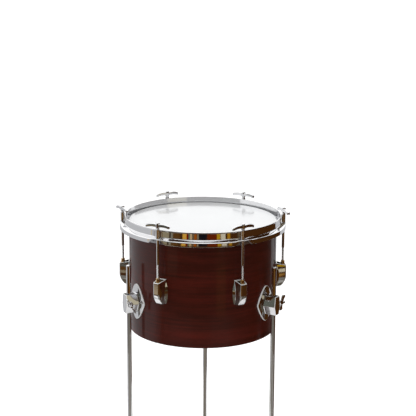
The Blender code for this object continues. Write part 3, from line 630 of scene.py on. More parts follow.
class PatternTree:
    """A Geometry Nodes tree with named inputs that is run once and gives a plain mesh."""

    def __init__(self, name: str) -> None:
        """Start an empty tree with a geometry input and output."""
        self.tree = bpy.data.node_groups.new(name, "GeometryNodeTree")
        self.tree.is_modifier = True
        self.tree.interface.new_socket("Geometry", in_out="INPUT", socket_type="NodeSocketGeometry")
        self.tree.interface.new_socket("Geometry", in_out="OUTPUT", socket_type="NodeSocketGeometry")
        self.source = self.tree.nodes.new("NodeGroupInput")
        self.result = self.tree.nodes.new("NodeGroupOutput")
        self.identifiers: dict[str, str] = {}
        self.values: dict[str, object] = {}

    def add_input(self, name: str, kind: str, value: object) -> bpy.types.NodeSocket:
        """Add a named input.

        Args:
            name: The input's name.
            kind: The socket type, such as NodeSocketFloat.
            value: The value that the modifier gets.

        Returns:
            The socket inside the tree.
        """
        item = self.tree.interface.new_socket(name, in_out="INPUT", socket_type=kind)
        self.identifiers[name] = item.identifier
        self.values[name] = value
        return self.source.outputs[name]

    def node(self, kind: str, inputs: dict[object, object] | None = None,
             **settings: object) -> bpy.types.Node:
        """Add a node.

        Args:
            kind: The node's type name.
            inputs: Sockets or plain values for its inputs, by name or index.
            settings: Properties of the node.

        Returns:
            The new node.
        """
        made = self.tree.nodes.new(kind)
        for key, value in settings.items():
            setattr(made, key, value)
        for key, value in (inputs or {}).items():
            if isinstance(value, bpy.types.NodeSocket):
                self.tree.links.new(value, made.inputs[key])
            else:
                made.inputs[key].default_value = value
        return made

    def math(self, operation: str, *values: object) -> bpy.types.NodeSocket:
        """Add a Math node over sockets or numbers and return its result."""
        made = self.node("ShaderNodeMath", dict(enumerate(values)), operation=operation)
        return made.outputs[0]

    def run(self, geometry: bpy.types.NodeSocket, material: bpy.types.Material) -> bpy.types.Mesh:
        """Close the tree with realized instances and a material, run it and return a plain mesh."""
        realized = self.node("GeometryNodeRealizeInstances", {0: geometry})
        dressed = self.node("GeometryNodeSetMaterial", {"Geometry": realized.outputs[0], "Material": material})
        self.tree.links.new(dressed.outputs[0], self.result.inputs[0])
        carrier = MeshWorks.solid("carrier", bpy.data.meshes.new("carrier"))
        modifier = carrier.modifiers.new("pattern", "NODES")
        modifier.node_group = self.tree
        for name, value in self.values.items():
            modifier[self.identifiers[name]] = value
        mesh = MeshWorks.baked(carrier)
        if not mesh.polygons:
            raise RuntimeError(f"{self.tree.name} made no faces")
        return mesh


@dataclass
class ShellAssembly:
    """The wooden tube with its bearing edge, its plies and the drilled screw holes."""

    top: float = 558.4 * MM
    depth: float = 225.0 * MM
    edge_round: float = 2.0 * MM
    edge_bevel: float = 4.0 * MM
    lower_round: float = 0.8 * MM
    segments: int = 240
    hole_radius: float = 2.3 * MM

    def profile(self) -> list[Point]:
        """Return the tube's section, anticlockwise from the lower outer corner."""
        outer = LAYOUT.shell_radius
        inner = outer - LAYOUT.shell_wall
        bottom = self.top - self.depth
        corners = [(outer, bottom, self.lower_round), (outer, self.top, self.edge_round),
                   (outer - self.edge_round, self.top, 0.4 * MM),
                   (inner, self.top - self.edge_bevel, 1.0 * MM), (inner, bottom, self.lower_round)]
        return MeshWorks.rounded(corners, steps=4)

    def build(self, shelf: FinishShelf, fitter: Fitter, holes: Sequence[Placement]) -> None:
        """Make the tube, drill it and fit it.

        Args:
            shelf: The finishes.
            fitter: Fits the piece.
            holes: Placements of the screw holes, each with Z along the hole, about the drum's axis.
        """
        tube = MeshWorks.turned("tube", self.profile(), self.segments, closed=True)
        wall = LAYOUT.shell_wall
        drill = MeshWorks.turned("drill", [(0.0, -2 * wall), (self.hole_radius, -2 * wall),
                                           (self.hole_radius, wall), (0.0, wall)], 20)
        drills = MeshWorks.joined("drills", [(drill, place) for place in holes])
        mesh = MeshWorks.shaded(MeshWorks.carved(tube, [(drills, Matrix.Identity(4))]), 32.0)
        self._assign_faces(mesh)
        materials = [shelf.wood[GrainFace.OUTSIDE], shelf.wood[GrainFace.INSIDE], shelf.wood[GrainFace.EDGE]]
        fitter.fit("shell_tube", mesh, materials, Body.DRUM.name_for(), ["shell"], LAYOUT.axis)

    def _assign_faces(self, mesh: bpy.types.Mesh) -> None:
        """Give the outside, the inside and the cut edges of the tube their material indices."""
        middle = LAYOUT.shell_radius - LAYOUT.shell_wall / 2
        for face in mesh.polygons:
            distance = math.hypot(face.center.x, face.center.y)
            if abs(face.normal.z) > 0.75:
                face.material_index = 2
            else:
                face.material_index = 0 if distance > middle else 1


@dataclass
class HeadAssembly:
    """The white film over the bearing edge and the metal channel that holds its hook."""

    film_top: float = 559.5 * MM
    thickness: float = 0.8 * MM
    collar_depth: float = 13.0 * MM
    hook: float = 3.4 * MM
    gap: float = 0.3 * MM
    shoulder: float = 2.3 * MM
    channel_width: float = 7.4 * MM
    channel_top: float = 552.5 * MM
    channel_height: float = 11.0 * MM
    segments: int = 240

    def build(self, shelf: FinishShelf, fitter: Fitter) -> None:
        """Make and fit the film and the channel."""
        inner = LAYOUT.shell_radius + self.gap
        outer = inner + self.thickness
        bottom = self.film_top - self.collar_depth
        lower = self.film_top - self.thickness
        steps = [0.15 * share * outer for share in range(1, 6)]
        top_line = [(radius, self.film_top) for radius in steps]
        under_line = [(radius, lower) for radius in reversed(steps)]
        shoulder = MeshWorks.rounded([
            (steps[-1], self.film_top, 0.0), (outer, self.film_top, self.shoulder + self.thickness),
            (outer, bottom + self.thickness, 0.4 * MM), (outer + self.hook, bottom + self.thickness, 0.2 * MM),
            (outer + self.hook, bottom, 0.2 * MM), (inner, bottom, 0.5 * MM),
            (inner, lower, self.shoulder), (steps[-1], lower, 0.0)], steps=6, closed=False)
        profile = [(0.0, self.film_top), *top_line[:-1], *shoulder, *under_line[1:], (0.0, lower)]
        film = MeshWorks.shaded(MeshWorks.turned("film", profile, self.segments), 50.0)
        fitter.fit("head_film", film, [shelf.film], Body.DRUM.name_for(), ["drumhead"], LAYOUT.axis)
        start = outer + self.gap
        end = start + self.channel_width
        groove = outer + self.hook + self.gap
        high = bottom + self.thickness + self.gap
        low = bottom - self.gap
        floor = self.channel_top - self.channel_height
        section = MeshWorks.rounded([
            (end, floor, 0.8 * MM), (end, self.channel_top, 1.0 * MM), (start, self.channel_top, 0.8 * MM),
            (start, high, 0.2 * MM), (groove, high, 0.2 * MM), (groove, low, 0.2 * MM),
            (start, low, 0.2 * MM), (start, floor, 0.8 * MM)], steps=3)
        channel = MeshWorks.shaded(MeshWorks.turned("channel", section, self.segments, closed=True), 50.0)
        fitter.fit("flesh_channel", channel, [shelf.aluminium], Body.DRUM.name_for(),
                   ["flesh_hoop"], LAYOUT.axis)


@dataclass
class FlangedHoop:
    """The chromed counter hoop, whose lip is cut back to a flat ear at each rod."""

    band_radius: float = 159.3 * MM
    band_wall: float = 2.0 * MM
    band_drop: float = 15.0 * MM
    bead: float = 0.8 * MM
    lip_radius: float = 169.4 * MM
    lip_wall: float = 2.0 * MM
    lip_drop: float = 27.0 * MM
    slope: float = 2.8 * MM
    underside: float = 552.8 * MM
    ear_top: float = 553.4 * MM
    ear_thickness: float = 2.4 * MM
    ear_half_angle: float = 2.4
    full_angle: float = 7.0
    hole_radius: float = 3.1 * MM
    stations: int = 540

    def section(self, ear: bool) -> list[Point]:
        """Return the rounded section on an ear or where the lip is full, with equally many points."""
        rim = LAYOUT.rim_height
        inner = self.band_radius - self.band_wall
        clear = self.band_radius + 0.6 * MM
        slope_end = rim - self.band_drop - self.slope
        ear_bottom = self.ear_top - self.ear_thickness
        lip_inner = self.lip_radius - self.lip_wall
        fine = 0.5 * MM
        if ear:
            lower = [(self.band_radius, self.ear_top, 1.6 * MM), (self.lip_radius - 1.2 * MM, self.ear_top, 0.6 * MM),
                     (self.lip_radius, self.ear_top - 0.8 * MM, fine), (self.lip_radius, ear_bottom + 0.8 * MM, fine),
                     (self.lip_radius - 0.8 * MM, ear_bottom, fine), (lip_inner - 0.8 * MM, ear_bottom, fine),
                     (clear + 0.4 * MM, ear_bottom, fine)]
        else:
            lower = [(self.band_radius, rim - self.band_drop, 1.2 * MM), (self.lip_radius - 1.2 * MM, slope_end, 0.8 * MM),
                     (self.lip_radius, slope_end - 1.2 * MM, 0.8 * MM), (self.lip_radius, rim - self.lip_drop, fine),
                     (lip_inner, rim - self.lip_drop, fine), (lip_inner, slope_end - self.lip_wall, 1.2 * MM),
                     (clear + 0.4 * MM, self.underside, fine)]
        corners = [(inner, rim, 0.9 * MM), (self.band_radius + self.bead, rim, 1.5 * MM),
                   (self.band_radius + self.bead, rim - 2.0 * self.bead, 0.3 * MM),
                   (self.band_radius, rim - 3.0 * self.bead, 0.5 * MM), *lower,
                   (clear, self.underside, 0.1 * MM), (inner, self.underside, 0.8 * MM)]
        return MeshWorks.rounded(corners, steps=3)

    def build(self, shelf: FinishShelf, fitter: Fitter) -> None:
        """Sweep the two sections round the drum with a node tree, and fit the hoop."""
        sections = {}
        for ear in (True, False):
            mesh = bpy.data.meshes.new("hoop_section")
            mesh.from_pydata([(radius, 0.0, height) for radius, height in self.section(ear)], [], [])
            sections[ear] = MeshWorks.solid("hoop_section", mesh)
        count = len(self.section(True))
        pattern = PatternTree("flanged_hoop_sweep")
        ear_input = pattern.add_input("Ear section", "NodeSocketObject", sections[True])
        full_input = pattern.add_input("Full section", "NodeSocketObject", sections[False])
        rods = pattern.add_input("Rods", "NodeSocketInt", len(LAYOUT.lug_azimuths))
        ear_angle = pattern.add_input("Ear half angle", "NodeSocketFloat", self.ear_half_angle)
        full_angle = pattern.add_input("Full lip angle", "NodeSocketFloat", self.full_angle)
        circle = pattern.add_input("Rod circle", "NodeSocketFloat", LAYOUT.rod_circle)
        bore = pattern.add_input("Rod hole radius", "NodeSocketFloat", self.hole_radius)
        grid = pattern.node("GeometryNodeMeshGrid", {"Size X": 1.0, "Size Y": 1.0, "Vertices X": count + 1,
                                                     "Vertices Y": self.stations + 1})
        where = pattern.node("ShaderNodeSeparateXYZ", {0: pattern.node("GeometryNodeInputPosition").outputs[0]})
        along = pattern.math("MULTIPLY_ADD", where.outputs["X"], float(count), count / 2 + 0.25)
        index = pattern.math("MODULO", pattern.math("FLOOR", along), float(count))
        angle = pattern.math("MULTIPLY_ADD", where.outputs["Y"], 360.0, 180.0)
        offset = pattern.math("PINGPONG", angle, pattern.math("DIVIDE", 180.0, rods))
        share = pattern.node("ShaderNodeMapRange", {"Value": offset, "From Min": ear_angle, "From Max": full_angle},
                             interpolation_type="SMOOTHSTEP")
        ear_point = self._sample(pattern, ear_input, index)
        full_point = self._sample(pattern, full_input, index)
        blended = pattern.node("ShaderNodeMix", {0: share.outputs["Result"], 4: ear_point, 5: full_point},
                               data_type="VECTOR")
        point = pattern.node("ShaderNodeSeparateXYZ", {0: blended.outputs[1]})
        radians = pattern.math("RADIANS", angle)
        place = pattern.node("ShaderNodeCombineXYZ", {
            "X": pattern.math("MULTIPLY", point.outputs["X"], pattern.math("COSINE", radians)),
            "Y": pattern.math("MULTIPLY", point.outputs["X"], pattern.math("SINE", radians)),
            "Z": point.outputs["Z"]})
        bent = pattern.node("GeometryNodeSetPosition", {"Geometry": grid.outputs["Mesh"], "Position": place.outputs[0]})
        welded = pattern.node("GeometryNodeMergeByDistance", {"Geometry": bent.outputs[0], "Distance": 1e-6})
        ring = pattern.node("GeometryNodeMeshCircle", {"Vertices": rods, "Radius": circle})
        punch = pattern.node("GeometryNodeMeshCylinder", {"Vertices": 32, "Radius": bore, "Depth": 20 * MM})
        punches = pattern.node("GeometryNodeInstanceOnPoints", {"Points": ring.outputs["Mesh"],
                                                                "Instance": punch.outputs["Mesh"]})
        lifted = pattern.node("GeometryNodeTransform", {"Geometry": punches.outputs[0],
                                                        "Translation": (0.0, 0.0, self.ear_top)})
        loose = pattern.node("GeometryNodeRealizeInstances", {0: lifted.outputs[0]})
        pierced = pattern.node("GeometryNodeMeshBoolean", {"Mesh 1": self._outward(pattern, welded.outputs[0]),
                                                           "Mesh 2": loose.outputs[0]},
                               operation="DIFFERENCE", solver="EXACT")
        mesh = MeshWorks.shaded(pattern.run(pierced.outputs["Mesh"], shelf.chrome), 45.0)
        for item in sections.values():
            bpy.data.objects.remove(item, do_unlink=True)
        fitter.fit("flanged_hoop", mesh, [shelf.chrome], Body.DRUM.name_for(), ["counter_hoop"],
                   LAYOUT.axis)

    @staticmethod
    def _sample(pattern: PatternTree, section: bpy.types.NodeSocket,
                index: bpy.types.NodeSocket) -> bpy.types.NodeSocket:
        """Return the place of a section's point by its index."""
        info = pattern.node("GeometryNodeObjectInfo", {"Object": section})
        place = pattern.node("GeometryNodeInputPosition")
        sample = pattern.node("GeometryNodeSampleIndex", {"Geometry": info.outputs["Geometry"],
                                                          "Value": place.outputs[0], "Index": index},
                              data_type="FLOAT_VECTOR", domain="POINT")
        return sample.outputs[0]

    @staticmethod
    def _outward(pattern: PatternTree, geometry: bpy.types.NodeSocket) -> bpy.types.NodeSocket:
        """Turn the swept faces so that they point out of the metal."""
        return pattern.node("GeometryNodeFlipFaces", {"Mesh": geometry}).outputs[0]


@dataclass
class LugCasting:
    """A wedge-shaped lug: open rimmed top, side ridges and a foot that curves in to the shell."""

    height: float = 45.5 * MM
    front_width: float = 13.0 * MM
    base_width: float = 28.0 * MM
    end_width: float = 20.4 * MM
    reach: float = 21.0 * MM
    foot_reach: float = 9.5 * MM
    ridge_reach: float = 6.0 * MM
    rim_rise: float = 4.7 * MM
    wall: float = 2.0 * MM
    recess: float = 5.0 * MM
    collar_hole: float = 4.3 * MM
    hole_depth: float = 7.0 * MM
    levels: int = 30

    def outline(self, height: float, inset: float = 0.0) -> list[Point]:
        """Return the outline at a height above the middle, pulled in by an inset at the ends."""
        share = 2.0 * height / self.height
        bulge = 1.0 - share * share
        base = self.end_width / 2 + (self.base_width - self.end_width) / 2 * bulge - inset
        ridge_reach = self.wall / 2 + (self.ridge_reach - self.wall / 2) * bulge
        ridge = base - 0.6 * ridge_reach
        front = self.front_width / 2 - inset
        sink = max(0.0, -share)
        reach = self.reach - (self.reach - self.foot_reach) * sink * sink - inset
        back = LAYOUT.shell_depth_at(base)
        half = [(front, reach, 2.0 * MM), (ridge, ridge_reach, 0.9 * MM), (base, back, 0.3 * MM)]
        other = [(-x, y, radius) for x, y, radius in reversed(half)]
        return MeshWorks.rounded([*half, (0.0, LAYOUT.shell_depth_at(0.0), 0.2 * MM), *other], steps=4)

    def recess_outline(self, inset: float = 0.0) -> list[Point]:
        """Return the outline of the open top, point for point with the outer one."""
        front = self.front_width / 2 - self.wall - inset
        outer = self.reach - self.wall - inset
        back = self.end_width / 2 - self.wall - inset
        half = [(front, outer, 0.9 * MM), (back, self.wall + 0.6 * MM + inset, 0.3 * MM),
                (back - 0.3 * MM, self.wall + inset, 0.2 * MM)]
        other = [(-x, y, radius) for x, y, radius in reversed(half)]
        return MeshWorks.rounded([*half, (0.0, self.wall + inset, 0.2 * MM), *other], steps=4)

    def mesh(self) -> bpy.types.Mesh:
        """Return the lug as one closed casting."""
        half = self.height / 2
        sections: list[list[tuple[float, float, float]]] = []
        for inset, lift in ((1.2 * MM, 0.0), (0.4 * MM, 0.25 * MM), (0.0, 0.9 * MM)):
            sections.append([(x, y, -half + lift) for x, y in self.outline(-half, inset)])
        for level in range(1, self.levels):
            height = -half + self.height * level / self.levels
            sections.append([(x, y, height) for x, y in self.outline(height)])
        edge = 0.5 * MM
        sections.append([(x, y, self._rim(y) - edge) for x, y in self.outline(half - edge)])
        sections.append([(x, y, self._rim(y) - 0.3 * edge) for x, y in self.outline(half, 0.15 * MM)])
        sections.append([(x, y, self._rim(y)) for x, y in self.outline(half, 0.45 * MM)])
        sections.append([(x, y, self._rim(y)) for x, y in self.recess_outline(-0.45 * MM)])
        sections.append([(x, y, self._rim(y) - 0.5 * edge) for x, y in self.recess_outline(-0.1 * MM)])
        sections.append([(x, y, self._rim(y) - 1.2 * edge) for x, y in self.recess_outline()])
        floor = half - self.recess
        sections.append([(x, y, floor + 0.4 * MM) for x, y in self.recess_outline()])
        sections.append([(x, y, floor) for x, y in self.recess_outline(0.4 * MM)])
        hole = self._hole_outline()
        sections.append([(x, y, floor) for x, y in hole])
        sections.append([(x, y, floor - self.hole_depth) for x, y in hole])
        return MeshWorks.marked(MeshWorks.shaded(MeshWorks.lofted("lug", sections), 40.0), self._takes_painted_highlight)

    def _takes_painted_highlight(self, middle: Vector, normal: Vector) -> bool:
        """Tell whether a face lies on the rim round the open top, which gets the painted highlight."""
        return normal.z > 0.2 and middle.z > self._rim(middle.y) - 0.6 * MM

    def _rim(self, y: float) -> float:
        """Return the rim's height at a distance from the shell: it rises towards the shell."""
        return self.height / 2 + self.rim_rise * (1.0 - y / self.reach)

    def _hole_outline(self) -> list[Point]:
        """Return the round hole for the nut's collar, point for point with the recess."""
        middle = LAYOUT.rod_circle - LAYOUT.shell_radius
        points = []
        for x, y in self.recess_outline(0.4 * MM):
            angle = math.atan2(y - middle, x)
            points.append((self.collar_hole * math.cos(angle), middle + self.collar_hole * math.sin(angle)))
        return points

    def build(self, shelf: FinishShelf, fitter: Fitter) -> None:
        """Fit a lug at every rod."""
        mesh = self.mesh()
        for number, azimuth in enumerate(LAYOUT.lug_azimuths, start=1):
            # The second material paints a highlight on the rim round each lug's open top.
            fitter.fit(f"lug_casting_{number}", mesh, [shelf.chrome, shelf.rim], Body.DRUM.name_for(),
                       [f"lug_{number}"], LAYOUT.on_shell(azimuth, LAYOUT.lug_middle))


@dataclass
class SwivelNut:
    """The brass nut whose collar stands out of the lug's open top."""

    collar_radius: float = 4.0 * MM
    stand_out: float = 9.2 * MM
    flange_radius: float = 5.8 * MM
    flange_height: float = 3.2 * MM
    flange_top: float = 13.95 * MM
    tail: float = 7.0 * MM
    bore: float = 2.65 * MM
    lug_height: float = 45.5 * MM

    def build(self, shelf: FinishShelf, fitter: Fitter) -> None:
        """Fit a nut in every lug."""
        top = self.lug_height / 2 + self.stand_out
        low = self.flange_top - self.flange_height
        profile = MeshWorks.rounded([
            (self.bore, top - 0.6 * MM, 0.2 * MM), (self.bore, low - self.tail, 0.2 * MM),
            (self.collar_radius, low - self.tail, 0.4 * MM), (self.collar_radius, low, 0.2 * MM),
            (self.flange_radius, low, 0.4 * MM), (self.flange_radius, self.flange_top, 0.4 * MM),
            (self.collar_radius, self.flange_top, 0.2 * MM), (self.collar_radius, top - 1.3 * MM, 0.4 * MM),
            (self.collar_radius - 0.5 * MM, top - 1.0 * MM, 0.2 * MM), (self.collar_radius - 0.5 * MM, top, 0.4 * MM),
            (self.bore + 0.5 * MM, top, 0.3 * MM)], steps=2)
        mesh = MeshWorks.shaded(MeshWorks.turned("nut", profile, 48, closed=True), 40.0)
        for number, azimuth in enumerate(LAYOUT.lug_azimuths, start=1):
            place = LAYOUT.on_shell(azimuth, LAYOUT.lug_middle, LAYOUT.rod_circle - LAYOUT.shell_radius)
            fitter.fit(f"nut_{number}", mesh, [shelf.brass], Body.DRUM.name_for(),
                       [f"swivel_nut_{number}"], place)


@dataclass
class TuningRod:
    """A tension rod with its rolled thread and the cast T-handle that turns it."""

    radius: float = 2.8 * MM
    crest: float = 2.5 * MM
    thread_depth: float = 0.42 * MM
    pitch: float = 1.06 * MM
    thread_start: float = 501.0 * MM
    bottom: float = 441.3 * MM
    top: float = 567.4 * MM
    handle_bottom: float = 553.7 * MM
    handle_top: float = 585.5 * MM
    hub: float = 4.1 * MM
    neck_drop: float = 12.4 * MM
    neck_depth: float = 0.8 * MM
    swell: float = 0.5 * MM
    wing_span: float = 52.5 * MM
    wing_rise: float = 10.4 * MM
    wing_tip_rise: float = 6.8 * MM
    wing_dip: float = 2.0 * MM
    wing_height: float = 6.6 * MM
    wing_depth: float = 7.8 * MM
    socket_depth: float = 14.0 * MM
    stations: int = 36
    handle_turns: tuple[float, ...] = (22.0, 0.0, 0.0, 30.0, 8.0, 8.0)

    def rod_mesh(self) -> bpy.types.Mesh:
        """Return the smooth shaft with the thread's core below it."""
        core = self.crest - self.thread_depth
        profile = MeshWorks.rounded([
            (0.0, self.bottom, 0.0), (core - 0.6 * MM, self.bottom, 0.2 * MM), (core, self.bottom + 0.7 * MM, 0.2 * MM),
            (core, self.thread_start - 0.9 * MM, 0.3 * MM), (self.radius, self.thread_start, 0.3 * MM),
            (self.radius, self.top, 0.3 * MM), (0.0, self.top, 0.0)], steps=3, closed=False)
        return MeshWorks.shaded(MeshWorks.turned("rod", profile, 32), 40.0)

    def thread_mesh(self, material: bpy.types.Material) -> bpy.types.Mesh:
        """Wind the thread's ridge round the core with a node tree."""
        pattern = PatternTree("rolled_thread")
        pitch = pattern.add_input("Pitch", "NodeSocketFloat", self.pitch)
        length = pattern.add_input("Length", "NodeSocketFloat", self.thread_start - self.bottom - 2.2 * MM)
        depth = pattern.add_input("Depth", "NodeSocketFloat", self.thread_depth)
        crest = pattern.add_input("Crest radius", "NodeSocketFloat", self.crest)
        start = pattern.add_input("Start height", "NodeSocketFloat", self.bottom + 1.0 * MM)
        middle = pattern.math("SUBTRACT", crest, depth)
        spiral = pattern.node("GeometryNodeCurveSpiral", {
            "Resolution": 18, "Rotations": pattern.math("DIVIDE", length, pitch),
            "Start Radius": middle, "End Radius": middle, "Height": length})
        upright = pattern.node("GeometryNodeSetCurveNormal", {"Curve": spiral.outputs[0]})
        self._set_upright(upright)
        ridge = pattern.node("GeometryNodeCurvePrimitiveCircle", {"Resolution": 4, "Radius": depth}, mode="RADIUS")
        swept = pattern.node("GeometryNodeCurveToMesh", {"Curve": upright.outputs[0],
                                                         "Profile Curve": ridge.outputs[0], "Fill Caps": True})
        rise = pattern.node("ShaderNodeCombineXYZ", {"Z": start})
        lifted = pattern.node("GeometryNodeTransform", {"Geometry": swept.outputs[0], "Translation": rise.outputs[0]})
        return MeshWorks.shaded(pattern.run(lifted.outputs[0], material), 30.0)

    @staticmethod
    def _set_upright(node: bpy.types.Node) -> None:
        """Keep the profile upright along the curve, by the name that this release gives the option."""
        if hasattr(node, "mode"):
            node.mode = "Z_UP"
        else:
            node.inputs["Mode"].default_value = "Z Up"

    def handle_mesh(self) -> bpy.types.Mesh:
        """Cast the handle: a domed hub on a barrel with two wings that droop to their tips."""
        neck = self.handle_top - self.neck_drop
        hub = MeshWorks.rounded([
            (0.0, self.handle_bottom, 0.0), (self.hub, self.handle_bottom, 0.5 * MM), (self.hub, neck - 1.6 * MM, 0.5 * MM),
            (self.hub - self.neck_depth, neck - 0.5 * MM, 0.4 * MM), (self.hub - self.neck_depth, neck + 0.5 * MM, 0.4 * MM),
            (self.hub, neck + 1.6 * MM, 0.8 * MM), (self.hub + self.swell, self.handle_top - 3.4 * MM, 1.2 * MM),
            (self.hub - 0.6 * MM, self.handle_top - 0.6 * MM, 1.4 * MM), (0.0, self.handle_top, 0.0)],
            steps=5, closed=False)
        body = MeshWorks.turned("hub", hub, 48)
        sections = []
        for index in range(self.stations + 1):
            share = -1.0 + 2.0 * index / self.stations
            reach = abs(share)
            rise = self.wing_rise - (self.wing_rise - self.wing_tip_rise) * reach ** 2.6
            middle = rise - self.wing_dip * (1.0 - reach) ** 4
            tip = math.sqrt(max(0.0, 1.0 - ((reach - 0.9) / 0.1) ** 2)) if reach > 0.9 else 1.0
            taper = (1.0 - 0.12 * reach) * max(0.2, tip)
            sections.append(self._wing_section(share * self.wing_span / 2, LAYOUT.rim_height + middle, taper))
        wings = MeshWorks.lofted("wings", sections)
        socket = MeshWorks.turned("socket", [
            (0.0, self.handle_bottom - 1.0 * MM), (self.radius + 0.2 * MM, self.handle_bottom - 1.0 * MM),
            (self.radius + 0.2 * MM, self.handle_bottom + self.socket_depth),
            (0.0, self.handle_bottom + self.socket_depth)], 24)
        here = Matrix.Identity(4)
        whole = MeshWorks.carved(body, [(wings, here)], "UNION")
        return MeshWorks.shaded(MeshWorks.carved(whole, [(socket, here)]), 38.0)

    def _wing_section(self, x: float, z: float, taper: float) -> list[tuple[float, float, float]]:
        """Return one section of the wings, with nearly flat sides and rounded edges."""
        points = []
        for step in range(28):
            angle = math.tau * (step + 0.5) / 28
            up, out = math.sin(angle), math.cos(angle)
            tall = math.copysign(abs(up) ** 0.55, up) * self.wing_height / 2
            deep = math.copysign(abs(out) ** 0.35, out) * self.wing_depth / 2
            points.append((x, deep * taper, z + tall * taper))
        return points

    def build(self, shelf: FinishShelf, fitter: Fitter) -> None:
        """Fit a rod, its thread and its handle at every lug."""
        rod = self.rod_mesh()
        thread = self.thread_mesh(shelf.chrome)
        handle = self.handle_mesh()
        for number, (azimuth, turn) in enumerate(zip(LAYOUT.lug_azimuths, self.handle_turns), start=1):
            upright = LAYOUT.on_shell(azimuth, 0.0, LAYOUT.rod_circle - LAYOUT.shell_radius)
            place = upright @ Matrix.Rotation(math.radians(turn), 4, "Z")
            body = Body.ROD.name_for(number)
            fitter.fit(f"rod_shaft_{number}", rod, [shelf.chrome], body, [f"tension_rod_{number}"], place)
            fitter.fit(f"rod_thread_{number}", thread, [shelf.chrome], body, [], place)
            fitter.fit(f"handle_{number}", handle, [shelf.chrome], body, [f"t_handle_{number}"], place)


